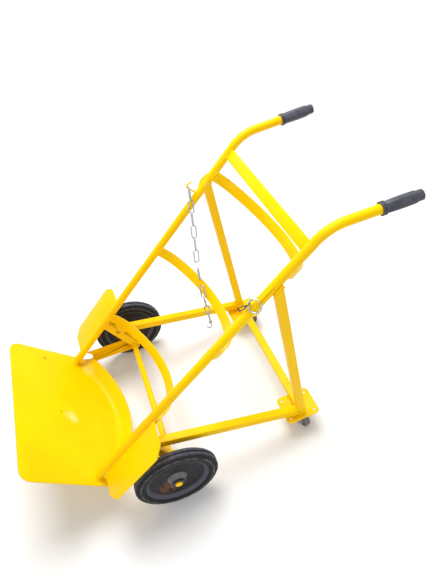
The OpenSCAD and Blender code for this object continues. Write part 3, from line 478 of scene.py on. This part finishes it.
def tyre_rubber():
    finish = Finish("tyre_rubber", specular=0.14)
    reach = finish.off_axle()
    tone = finish.ramp(finish.noise(0.05, detail=6), [(0.3, (0.009, 0.009, 0.010)), (0.75, (0.022, 0.022, 0.024))])
    worn = finish.ramp(reach, [(0.1226, 0.0), (0.1236, 1.0)])
    tread = finish.ramp(finish.noise(0.012, detail=8, rough=0.7), [(0.35, (0.040, 0.042, 0.055)), (0.7, (0.12, 0.12, 0.15))])
    tone = finish.mix(worn, tone, tread)
    ring = finish.ramp(reach, [(0.1078, 0.0), (0.1084, 0.8), (0.1092, 0.8), (0.1106, 0.0)])
    rubbed = finish.ramp(finish.noise(0.02, detail=6), [(0.38, 0.15), (0.6, 1.0)])
    tone = finish.mix(finish.times(ring, rubbed), tone, (0.20, 0.20, 0.21))
    dust = finish.ramp(finish.noise(0.018, detail=8, rough=0.72), [(0.56, 0.0), (0.82, 0.4)])
    tone = finish.mix(dust, tone, (0.13, 0.12, 0.12))
    nicks = finish.spots(0.03, 0.0018, 0.12)
    finish.colour(finish.mix(nicks, tone, (0.42, 0.41, 0.40)))
    finish.gloss(finish.ramp(finish.noise(0.03, detail=5), [(0.3, 0.5), (0.75, 0.75)]))
    finish.bump((finish.noise(0.0012, detail=3), 0.00025), (finish.noise(0.006, detail=6), 0.0005))
    return finish.material


def wheel_paint():
    finish = Finish("wheel_paint", specular=0.15)
    reach = finish.off_axle()
    tone = finish.ramp(finish.noise(0.02, detail=7), [(0.3, (0.016, 0.015, 0.017)), (0.75, (0.036, 0.033, 0.036))])
    hub = finish.ramp(reach, [(0.0212, 0.0), (0.022, 1.0), (0.0262, 1.0), (0.03, 0.0)])
    boss = finish.ramp(finish.noise(0.006, detail=6), [(0.3, (0.15, 0.14, 0.14)), (0.7, (0.36, 0.34, 0.34))])
    tone = finish.mix(hub, tone, boss)
    # Painted highlight: a lighter bluish ring on the disc's wall stands in for the light that the wall catches.
    painted_wall_highlight = finish.ramp(reach, [(0.084, 0.0), (0.088, 0.8), (0.0905, 0.8), (0.0915, 0.0)])
    tone = finish.mix(painted_wall_highlight, tone, (0.17, 0.175, 0.22))
    near = finish.ramp(finish.off_axle(-0.036, -0.03), [(0.012, 1.0), (0.042, 0.0)])
    patch = finish.ramp(finish.noise(0.016, detail=8, rough=0.68), [(0.45, 0.0), (0.58, 1.0)])
    rust = finish.times(near, patch)
    brown = finish.ramp(finish.noise(0.004, detail=5), [(0.3, (0.10, 0.035, 0.012)), (0.7, (0.34, 0.15, 0.045))])
    finish.colour(finish.mix(rust, tone, brown))
    finish.gloss(finish.ramp(finish.noise(0.01, detail=5), [(0.3, 0.42), (0.75, 0.7)]))
    finish.bump((finish.noise(0.0015, detail=4), 0.0001), (rust, 0.0002))
    return finish.material


def bare_metal(name, dark, light, low, high, grain, metal=0.9):
    """Bare or plated steel between two tones, with its roughness between low and high."""
    finish = Finish(name, metal=metal)
    tone = finish.ramp(finish.noise(grain * 4, detail=6), [(0.3, dark), (0.72, light)])
    dull = finish.ramp(finish.noise(grain * 2, detail=8, rough=0.7), [(0.6, 0.0), (0.78, 0.6)])
    finish.colour(finish.mix(dull, tone, tuple(value * 0.55 for value in dark)))
    finish.gloss(finish.ramp(finish.noise(grain * 3, detail=5), [(0.3, low), (0.72, high)]))
    finish.bump((finish.noise(grain, detail=3), grain * 0.06))
    return finish.material


def moulded(name, dark, light, low, high):
    """Moulded plastic or a hard caster tread, a little dusty."""
    finish = Finish(name, specular=0.4)
    tone = finish.ramp(finish.noise(0.01, detail=6), [(0.3, dark), (0.72, light)])
    dirt = finish.ramp(finish.noise(0.006, detail=8, rough=0.7), [(0.55, 0.0), (0.8, 0.5)])
    finish.colour(finish.mix(dirt, tone, (0.07, 0.06, 0.05)))
    finish.gloss(finish.ramp(finish.noise(0.006, detail=4), [(0.3, low), (0.72, high)]))
    finish.bump((finish.noise(0.001, detail=3), 0.00012))
    return finish.material


FINISHES = {
    "yellow_enamel": yellow_enamel(),
    "grip_rubber": grip_rubber(),
    "tyre_rubber": tyre_rubber(),
    "wheel_paint": wheel_paint(),
    "bush_plastic": moulded("bush_plastic", (0.50, 0.47, 0.38), (0.68, 0.65, 0.56), 0.4, 0.6),
    "caster_tread": moulded("caster_tread", (0.10, 0.095, 0.085), (0.21, 0.20, 0.18), 0.5, 0.7),
    "spring_steel": bare_metal("spring_steel", (0.09, 0.09, 0.10), (0.16, 0.16, 0.17), 0.35, 0.5, 0.001),
    "chain_zinc": bare_metal("chain_zinc", (0.27, 0.28, 0.30), (0.52, 0.54, 0.57), 0.26, 0.42, 0.0012),
    "ring_steel": bare_metal("ring_steel", (0.34, 0.37, 0.41), (0.56, 0.59, 0.64), 0.22, 0.36, 0.0012),
    "tarnished_steel": bare_metal("tarnished_steel", (0.10, 0.075, 0.06), (0.20, 0.16, 0.13), 0.38, 0.55, 0.001),
    "bright_steel": bare_metal("bright_steel", (0.26, 0.26, 0.27), (0.44, 0.44, 0.45), 0.34, 0.5, 0.001),
    "zinc_plate": bare_metal("zinc_plate", (0.34, 0.36, 0.38), (0.52, 0.54, 0.56), 0.38, 0.52, 0.0015, 0.8),
}


def finish_piece(piece, body, slot, *nodes):
    """Gives a piece its finish and its body, and hides the CAD nodes that it stands for."""
    piece.data.materials.clear()
    piece.data.materials.append(FINISHES[slot])
    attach(piece, body)
    if nodes:
        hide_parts(*nodes)


# Which finish each CAD node takes, by the end of its name

NODE_FINISHES = {
    "grip": "grip_rubber",
    "tyre": "tyre_rubber",
    "wheel_disc": "wheel_paint",
    "hub_bushes": "bush_plastic",
    "caster_wheel": "caster_tread",
    "axle_clips": "spring_steel",
    "axle_washers": "spring_steel",
    "kingpin": "zinc_plate",
    "caster_fork": "zinc_plate",
    "caster_bolt": "bright_steel",
    "caster_nut": "bright_steel",
    "caster_sleeve": "bright_steel",
    "chain_upper_links": "chain_zinc",
    "chain_lower_links": "chain_zinc",
    "chain_end_hook": "chain_zinc",
    "keeper_ring": "ring_steel",
    "snap_hook": "tarnished_steel",
}


def node_finish(node):
    for ending, slot in NODE_FINISHES.items():
        if node.endswith(ending):
            return slot
    return "yellow_enamel"


def body_name(node):
    """The body that carries a CAD node."""
    return frame["nodes"][node].parent.name.removeprefix("body:")


for node, piece in frame["nodes"].items():
    if not piece.material_slots:
        piece.data.materials.append(None)
    for slot in piece.material_slots:
        slot.material = FINISHES[node_finish(node)]


# Plates, strips and small steel parts: the CAD form with its sharp edges softened

SOFTENED = {
    "cylinder_dish": 0.0012,
    "left_wheel_guard": 0.001,
    "right_wheel_guard": 0.001,
    "top_crossbar": 0.001,
    "upper_band": 0.001,
    "middle_band": 0.001,
    "lower_band": 0.001,
    "left_foot_angle": 0.0008,
    "right_foot_angle": 0.0008,
    "left_caster_plate": 0.001,
    "right_caster_plate": 0.001,
    "left_caster_fork": 0.0005,
    "right_caster_fork": 0.0005,
    "axle_bar": 0.0012,
    "left_caster_bolt": 0.0006,
    "right_caster_bolt": 0.0006,
    "left_caster_nut": 0.0005,
    "right_caster_nut": 0.0005,
    "hook_lug": 0.0008,
    "ring_lug": 0.0008,
}
for node, width in SOFTENED.items():
    piece = copy_of(node, node + "_soft")
    soften(piece, width, segments=2)
    smooth(piece)
    finish_piece(piece, body_name(node), node_finish(node), node)


# Side rails: a straight run, the bend and the level handle


def rail(side):
    bend_y, bend_z = lean_yz(RAIL_LEN, 0)
    cut = BEND_R * math.tan(LEAN / 2)
    centre_y = bend_y + cut
    centre_z = bend_z - BEND_R
    points = [rail_point(side, 0, 0, 0), rail_point(side, 0, 0, RAIL_LEN / 2)]
    bends = 14
    for i in range(bends + 1):
        turn = LEAN * (1 - i / bends)
        y = centre_y - BEND_R * math.sin(turn)
        z = centre_z + BEND_R * math.cos(turn)
        points.append(side_point(side, 0, y, z))
    points.append(side_point(side, 0, bend_y + HANDLE_LEN - GRIP_WALL, bend_z))
    piece = rod(side + "_rail_tube", points, RAIL_R, sides=48)
    finish_piece(piece, "frame", "yellow_enamel", side + "_rail")


# Grips: an eight-sided swelling body with a narrower end and two collar rings

GRIP_BODY = [
    (0.0, 0.0),
    (0.0128, 0.0),
    (0.0138, 0.0012),
    (0.0141, 0.016),
    (0.0162, 0.022),
    (0.0166, 0.045),
    (0.0163, 0.07),
    (0.0154, 0.096),
    (0.0126, 0.096),
    (0.0126, 0.003),
]
COLLAR_R = 0.017
COLLAR_W = 0.0038
COLLAR_STARTS = (0.0952, 0.1022)


def grip(side):
    bend_y, bend_z = lean_yz(RAIL_LEN, 0)
    end = side_point(side, 0, bend_y + HANDLE_LEN, bend_z)
    front = side_point(side, 0, bend_y, bend_z)
    place = along(end, front - end, Vector((math.sin(math.pi / 8), 0, math.cos(math.pi / 8))))
    body = turned(side + "_grip_body", GRIP_BODY, place, steps=8)
    soften(body, 0.0022, angle=20, segments=3)
    parts = [body]
    sleeve = [(0.0126, 0.094), (0.0152, 0.094), (0.0152, GRIP_LEN - 0.001), (0.0126, GRIP_LEN - 0.001)]
    parts.append(turned("grip_sleeve", sleeve + sleeve[:1], place, steps=64))
    for start in COLLAR_STARTS:
        ring = [
            (0.0128, start),
            (COLLAR_R, start),
            (COLLAR_R, start + COLLAR_W),
            (0.0128, start + COLLAR_W),
        ]
        collar = turned("grip_collar", ring + ring[:1], place, steps=64)
        soften(collar, 0.0009, angle=40)
        parts.append(collar)
    piece = join(parts)
    piece.name = side + "_grip_rubber"
    smooth(piece)
    finish_piece(piece, "frame", "grip_rubber", side + "_grip")


# Wheels: a tyre with a grooved tread and one fine ring on each sidewall, and a deep disc

TYRE = [
    (0.0950, 0.0020),
    (0.0975, 0.0006),
    (0.1082, 0.0006),
    (0.1086, 0.0000),
    (0.1102, 0.0000),
    (0.1106, 0.0008),
    (0.1160, 0.0016),
    (0.1202, 0.0034),
    (0.1228, 0.0056),
    (0.1240, 0.0074),
    (0.1246, 0.0077),
    (0.1250, 0.0092),
    (0.1250, 0.0140),
    (0.1222, 0.0146),
    (0.1222, 0.0164),
    (0.1238, 0.0168),
    (0.1238, 0.0172),
    (0.1222, 0.0176),
    (0.1222, 0.0194),
    (0.1250, 0.0200),
    (0.1250, 0.0248),
    (0.1246, 0.0263),
    (0.1240, 0.0266),
    (0.1228, 0.0284),
    (0.1202, 0.0306),
    (0.1160, 0.0324),
    (0.1106, 0.0332),
    (0.1102, 0.0340),
    (0.1086, 0.0340),
    (0.1082, 0.0334),
    (0.0975, 0.0334),
    (0.0950, 0.0320),
]
DISC_HALF = [
    (0.0140, 0.0180),
    (0.0205, 0.0180),
    (0.0222, 0.0174),
    (0.0230, 0.0158),
    (0.0248, 0.0090),
    (0.0262, 0.0062),
    (0.0300, 0.0040),
    (0.0500, 0.0035),
    (0.0520, 0.0041),
    (0.0545, 0.0041),
    (0.0565, 0.0035),
    (0.0830, 0.0035),
    (0.0872, 0.0050),
    (0.0896, 0.0088),
    (0.0906, 0.0138),
    (0.0918, 0.0144),
    (0.0950, 0.0144),
]
TYRE_W = 0.034


def wheel(side):
    out = Vector((SIDES[side], 0, 0))
    centre = middle_of(side + "_tyre")
    place = along(centre - out * TYRE_W / 2, out, Vector((0, 0, 1)))
    piece = turned(side + "_tyre_rubber", TYRE + TYRE[:1], place, steps=128)
    soften(piece, 0.0006, angle=32, segments=2)
    smooth(piece, 40)
    finish_piece(piece, side + "_wheel", "tyre_rubber", side + "_tyre")
    hub = along(centre, out, Vector((0, 0, 1)))
    back = [(r, -h) for r, h in reversed(DISC_HALF)]
    piece = turned(side + "_disc", DISC_HALF + back + DISC_HALF[:1], hub, steps=96)
    smooth(piece, 30)
    finish_piece(piece, side + "_wheel", "wheel_paint", side + "_wheel_disc")


# Caster wheels, turned with a crowned tread

CASTER_WHEEL = [
    (0.00605, 0.0100),
    (0.0100, 0.0100),
    (0.0112, 0.0088),
    (0.0120, 0.0068),
    (0.0185, 0.0066),
    (0.0200, 0.0096),
    (0.0232, 0.0100),
    (0.0250, 0.0088),
    (0.0258, 0.0060),
    (0.0260, 0.0000),
]


def caster_wheel(side):
    axle = frame["nodes"][side + "_caster_sleeve"]
    centre = middle_of(side + "_caster_wheel")
    points = [vertex.co for vertex in axle.data.vertices]
    far = max(points, key=lambda point: (point - centre).xy.length)
    way = Vector(((far - centre).x, (far - centre).y, 0))
    for joint in frame["joints"]:
        if joint["name"] == side + "_caster_spin":
            way = Vector(joint["axis"])
    back = [(r, -h) for r, h in reversed(CASTER_WHEEL[:-1])]
    profile = CASTER_WHEEL + back + CASTER_WHEEL[:1]
    piece = turned(side + "_caster_tread", profile, along(centre, way, Vector((0, 0, 1))), steps=64)
    smooth(piece, 40)
    finish_piece(piece, side + "_caster_roller", "caster_tread", side + "_caster_wheel")


# Base frame of square tube: each tube runs a little into what it is welded to


def side_bar(side, name, start, end, cuts=()):
    """A square tube between two points of a side frame, given as (y, z)."""
    a = side_point(side, TUBE_OUT, *start)
    b = side_point(side, TUBE_OUT, *end)
    outward = side_point(side, 1, 0, 0) - side_point(side, 0, 0, 0)
    piece = square_bar(side + name + "_bar", a, b, outward)
    for point, normal in cuts:
        trim(piece, point, normal)
    smooth(piece)
    finish_piece(piece, "frame", "yellow_enamel", side + name)


STRUT_FOOT = (0.0, AXLE.z)
STRUT_HEAD = lean_yz(0.195, 0)
BASE_FRONT_Z = 0.222
STRUT_SHARE = (BASE_FRONT_Z - AXLE.z) / (STRUT_HEAD[1] - AXLE.z)
BASE_FRONT = (STRUT_HEAD[0] * STRUT_SHARE, BASE_FRONT_Z)
BASE_BACK = (0.430, PLATE_TOP + TUBE / 2)
POST_LOW = (0.430, PLATE_TOP)
POST_HIGH = (0.399, RAIL_FOOT_Z + (0.399 + RAIL_AHEAD) * math.tan(LEAN))


def stretched(start, end, before, after):
    """The same run, made longer at its two ends."""
    run = Vector(end) - Vector(start)
    way = run.normalized()
    return Vector(start) - way * before, Vector(end) + way * after


def base_frame(side):
    up = Vector((0, 0, 1))
    floor_cut = (side_point(side, 0, 0, PLATE_TOP), -up)
    rail_cut = (rail_point(side, 0, 0.004, 0), lean_point(0, 0, 0) - lean_point(0, 1, 0))
    shelf_cut = (side_point(side, 0, 0, AXLE.z - 0.010), -up)
    side_bar(side, "_post", *stretched(POST_LOW, POST_HIGH, 0.02, TUBE), (floor_cut, rail_cut))
    side_bar(side, "_axle_strut", *stretched(STRUT_FOOT, STRUT_HEAD, TUBE, TUBE), (shelf_cut, rail_cut))
    side_bar(side, "_base_tube", *stretched(BASE_FRONT, BASE_BACK, -0.006, -0.008), (floor_cut,))


def cross_tube():
    low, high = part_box("rear_cross_tube")
    middle = (low + high) / 2
    reach = Vector((high.x + 0.003, 0, 0))
    piece = square_bar("rear_cross_bar", middle - reach, middle + reach, Vector((0, 0, 1)))
    smooth(piece)
    finish_piece(piece, "frame", "yellow_enamel", "rear_cross_tube")


# Chain, ring and hooks


def islands(node):
    """The separate solids of a CAD node, each a list of its points."""
    mesh = bmesh.new()
    mesh.from_mesh(frame["nodes"][node].data)
    bmesh.ops.remove_doubles(mesh, verts=mesh.verts, dist=2e-6)
    left = set(mesh.verts)
    found = []
    while left:
        start = min(left, key=lambda vertex: vertex.index)
        group = {start}
        edge = [start]
        while edge:
            vertex = edge.pop()
            for spoke in vertex.link_edges:
                other = spoke.other_vert(vertex)
                if other not in group:
                    group.add(other)
                    edge.append(other)
        left -= group
        found.append([vertex.co.copy() for vertex in group])
    mesh.free()
    return found


def ring_place(points):
    """Centre of a ring or link, its longest direction and the normal of its plane."""
    centre = sum(points, Vector()) / len(points)
    tip = max(points, key=lambda point: (point - centre).length)
    length = (tip - centre).normalized()
    normal = Vector((0, 0, 0))
    for point in points:
        turn = length.cross(point - centre)
        normal += turn if turn.dot(normal) >= 0 else -turn
    return centre, length, normal.normalized()


def link_shape(name, width, length, wire):
    """A link: a ring whose two halves are drawn apart."""
    deselect()
    bpy.ops.mesh.primitive_torus_add(
        major_radius=(width - wire) / 2,
        minor_radius=wire / 2,
        major_segments=28,
        minor_segments=12,
    )
    piece = bpy.context.object
    piece.name = name
    edit(piece)
    bpy.ops.mesh.select_all(action="DESELECT")
    leave_edit()
    for vertex in piece.data.vertices:
        vertex.select = vertex.co.x > 1e-5
    edit(piece)
    bpy.ops.transform.translate(value=((length - width), 0, 0))
    bpy.ops.mesh.select_all(action="SELECT")
    bpy.ops.transform.translate(value=(-(length - width) / 2, 0, 0))
    leave_edit()
    smooth(piece, 60)
    return piece


LINK_W = 0.0195
LINK_LEN = 0.0438


def chain_links(node, body):
    links = []
    for i, points in enumerate(islands(node)):
        centre, length, normal = ring_place(points)
        link = link_shape(f"{node}_{i}", LINK_W, LINK_LEN, WIRE_D)
        x, z = length, normal
        place = Matrix((x, z.cross(x), z)).transposed().to_4x4()
        settle(link, Matrix.Translation(centre) @ place)
        links.append(link)
    piece = join(links)
    piece.name = node + "_wire"
    finish_piece(piece, body, "chain_zinc", node)


def smoothed_rod(node):
    """A bent rod of the CAD frame, smoothed along its bends."""
    piece = copy_of(node, node + "_rod")
    smooth(piece, 45)
    finish_piece(piece, body_name(node), node_finish(node), node)


# Weld beads: rippled fillets along the joints


def bead(points, radius=WELD_R, closed=False):
    """One run of weld along points, with a ripple at every few millimetres."""
    ripple = 0.0034
    path = []
    pairs = list(zip(points, points[1:] + points[:1] if closed else points[1:]))
    for a, b in pairs:
        steps = max(1, round((b - a).length / ripple))
        path += [a.lerp(b, i / steps) for i in range(steps)]
    if not closed:
        path.append(points[-1])
    radii = [(1.12 if i % 2 else 0.86) + random.uniform(-0.08, 0.08) for i in range(len(path))]
    if not closed:
        radii[0] = 0.5
        radii[-1] = 0.5
    return rod("bead", path, radius, sides=12, closed=closed, radii=radii)


def circle_points(centre, way, radius, count=24):
    """Points of a circle square to way."""
    aim = Vector((0, 0, 1)) if abs(way.normalized().z) < 0.9 else Vector((1, 0, 0))
    place = along(centre, way, aim)
    turns = [2 * math.pi * i / count for i in range(count)]
    return [place @ Vector((radius * math.cos(t), radius * math.sin(t), 0)) for t in turns]


def bar_ring(side, start, end, point, normal):
    """Where the long edges of a side frame's square tube cross a plane, given in its side view."""
    way = (Vector(end) - Vector(start)).normalized()
    across = Vector((way.y, -way.x))
    half = TUBE / 2 - 0.0006
    ring = []
    for x, w in ((-half, -half), (half, -half), (half, half), (-half, half)):
        base = Vector(start) + across * w
        t = (Vector(point) - base).dot(Vector(normal)) / way.dot(Vector(normal))
        spot = base + way * t
        ring.append(side_point(side, TUBE_OUT + x, spot.x, spot.y))
    return ring


def side_welds(side):
    beads = []
    along_rail = rail_point(side, 0, 0, 1) - rail_point(side, 0, 0, 0)
    foot = rail_point(side, 0, 0, 0.0015)
    beads.append(bead(circle_points(foot, along_rail, RAIL_R + 0.001), 0.0032, closed=True))
    for w in (-1, 1):
        line = [
            rail_point(side, RAIL_R + 0.0006, w * (GUARD_T / 2 + 0.0006), GUARD_LOW + share * GUARD_LEN)
            for share in (0.02, 0.98)
        ]
        beads.append(bead(line, 0.0019))
    for s in (CROSSBAR_AT - STRIP_W / 2, CROSSBAR_AT + STRIP_W / 2):
        x = SIDES[side] * (rail_x(s) - RAIL_R + 0.0003)
        beads.append(bead([lean_point(x, w, s) for w in (-0.004, 0.004)], 0.0024))
    for w in (-STRIP_T / 2, STRIP_T / 2):
        x = SIDES[side] * (rail_x(CROSSBAR_AT) - RAIL_R)
        line = [lean_point(x, w, CROSSBAR_AT + share * STRIP_W) for share in (-0.5, 0.5)]
        beads.append(bead(line, 0.0022))
    for i in range(3):
        s = BAND_LOW + i * BAND_PITCH
        for inward, w in ((0.0112, 0.0062), (0.0145, -0.0006)):
            line = [
                lean_point(SIDES[side] * (rail_x(s) - inward), w, s + share * STRIP_W)
                for share in (-0.48, 0.48)
            ]
            beads.append(bead(line, 0.0023))
    back = (math.sin(LEAN), -math.cos(LEAN))
    under = lean_yz(0, RAIL_R - 0.002)
    for start, end in ((POST_LOW, POST_HIGH), (STRUT_FOOT, STRUT_HEAD)):
        beads.append(bead(bar_ring(side, start, end, under, back), 0.0028, closed=True))
    beads.append(bead(bar_ring(side, POST_LOW, POST_HIGH, POST_LOW, (0, 1)), 0.003, closed=True))
    for tube, at, sign in (((STRUT_FOOT, STRUT_HEAD), BASE_FRONT, 1), ((POST_LOW, POST_HIGH), BASE_BACK, -1)):
        way = (Vector(tube[1]) - Vector(tube[0])).normalized()
        square = Vector((way.y, -way.x)) * sign
        face = Vector(tube[0]) + square * TUBE / 2
        beads.append(bead(bar_ring(side, BASE_FRONT, BASE_BACK, face, square), 0.0024, closed=True))
    return beads


def lug_welds(side, node, radius):
    """Two short runs along the foot of a lug."""
    low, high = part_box(node)
    centre = (low + high) / 2
    foot = rail_point(side, 0, 0, 0)
    way = (rail_point(side, 0, 0, 1) - foot).normalized()
    s = (centre - foot).dot(way)
    axis = foot + way * s
    out = (centre - axis).normalized()
    flat = way.cross(out)
    beads = []
    for turn in (-1, 1):
        base = axis + out * (RAIL_R + 0.0002) + flat * turn * 0.0032
        beads.append(bead([base - way * 0.026, base + way * 0.026], radius))
    return beads


def welds():
    beads = side_welds("left") + side_welds("right")
    beads += lug_welds("left", "hook_lug", 0.0021)
    beads += lug_welds("right", "ring_lug", 0.0018)
    low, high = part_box("rear_cross_tube")
    for x in (low.x, high.x):
        corners = [
            Vector((x, y, z))
            for y, z in ((low.y, low.z), (high.y, low.z), (high.y, high.z), (low.y, high.z))
        ]
        beads.append(bead(corners, 0.0024, closed=True))
    piece = join(beads)
    piece.name = "weld_beads"
    finish_piece(piece, "frame", "yellow_enamel")


# Camera and light


def camera():
    """The camera stands where the photograph was taken, above the dish end on the right."""
    data = bpy.data.cameras.new("camera")
    data.sensor_width = 36
    data.lens = 30.68
    eye = bpy.data.objects.new("camera", data)
    bpy.context.collection.objects.link(eye)
    right = Vector((0.34315, 0.92448, -0.1661))
    down = Vector((0.62686, -0.3571, -0.69248))
    ahead = Vector((-0.6995, 0.13351, -0.70205))
    turn = Matrix((right, -down, -ahead)).transposed().to_4x4()
    eye.matrix_world = Matrix.Translation((1.0145, -0.0859, 1.4896)) @ turn
    bpy.context.scene.camera = eye


def lamp(name, at, target, size, power):
    data = bpy.data.lights.new(name, "AREA")
    data.shape = "DISK"
    data.size = size
    data.energy = power
    lamp_object = bpy.data.objects.new(name, data)
    bpy.context.collection.objects.link(lamp_object)
    way = Vector(target) - Vector(at)
    lamp_object.matrix_world = along(Vector(at), -way, Vector((1, 0, 0)))


def studio():
    centre = (0, 0, 0.3)
    lamp("key_light", (-0.9, 0.3, 3.1), centre, 2.2, 100)
    lamp("side_light", (2.7, -0.7, 1.8), centre, 1.8, 19)
    world = bpy.data.worlds.new("studio")
    bpy.context.scene.world = world
    world.use_nodes = True
    tree = world.node_tree
    sky = tree.nodes["Background"]
    sky.inputs["Color"].default_value = (0.96, 0.98, 1.0, 1)
    sky.inputs["Strength"].default_value = 0.55
    backdrop = tree.nodes.new("ShaderNodeBackground")
    backdrop.inputs["Color"].default_value = (1, 1, 1, 1)
    paths = tree.nodes.new("ShaderNodeLightPath")
    clear = tree.nodes.new("ShaderNodeMath")
    clear.operation = "MAXIMUM"
    tree.links.new(paths.outputs["Is Glossy Ray"], clear.inputs[0])
    tree.links.new(paths.outputs["Is Transmission Ray"], clear.inputs[1])
    seen = tree.nodes.new("ShaderNodeMath")
    seen.operation = "MAXIMUM"
    tree.links.new(paths.outputs["Is Camera Ray"], seen.inputs[0])
    tree.links.new(clear.outputs[0], seen.inputs[1])
    mix = tree.nodes.new("ShaderNodeMixShader")
    tree.links.new(seen.outputs[0], mix.inputs["Fac"])
    tree.links.new(sky.outputs["Background"], mix.inputs[1])
    tree.links.new(backdrop.outputs["Background"], mix.inputs[2])
    tree.links.new(mix.outputs["Shader"], tree.nodes["World Output"].inputs["Surface"])


def floor():
    """A plain pale floor that turns to the white backdrop away from the cart."""
    deselect()
    bpy.ops.mesh.primitive_plane_add(size=30)
    ground = bpy.context.object
    ground.name = "floor"
    material = bpy.data.materials.new("pale_floor")
    material.use_nodes = True
    tree = material.node_tree
    shader = tree.nodes["Principled BSDF"]
    shader.inputs["Base Color"].default_value = (0.9, 0.9, 0.9, 1)
    shader.inputs["Roughness"].default_value = 0.9
    place = tree.nodes.new("ShaderNodeTexCoord")
    reach = tree.nodes.new("ShaderNodeVectorMath")
    reach.operation = "LENGTH"
    tree.links.new(place.outputs["Object"], reach.inputs[0])
    fade = tree.nodes.new("ShaderNodeMapRange")
    fade.inputs["From Min"].default_value = 0.75
    fade.inputs["From Max"].default_value = 1.5
    tree.links.new(reach.outputs["Value"], fade.inputs["Value"])
    paths = tree.nodes.new("ShaderNodeLightPath")
    seen = tree.nodes.new("ShaderNodeMath")
    seen.operation = "MULTIPLY"
    tree.links.new(fade.outputs["Result"], seen.inputs[0])
    tree.links.new(paths.outputs["Is Camera Ray"], seen.inputs[1])
    glow = tree.nodes.new("ShaderNodeEmission")
    mix = tree.nodes.new("ShaderNodeMixShader")
    tree.links.new(seen.outputs[0], mix.inputs["Fac"])
    tree.links.new(shader.outputs["BSDF"], mix.inputs[1])
    tree.links.new(glow.outputs["Emission"], mix.inputs[2])
    tree.links.new(mix.outputs["Shader"], tree.nodes["Material Output"].inputs["Surface"])
    ground.data.materials.append(material)


bpy.context.scene.view_settings.view_transform = "Standard"
camera()
studio()
floor()
for side in SIDES:
    rail(side)
    grip(side)
    wheel(side)
    caster_wheel(side)
    base_frame(side)
cross_tube()
chain_links("chain_upper_links", "upper_chain")
chain_links("chain_lower_links", "lower_chain")
for node in ("chain_hook", "chain_end_hook", "snap_hook", "keeper_ring"):
    smoothed_rod(node)
welds()
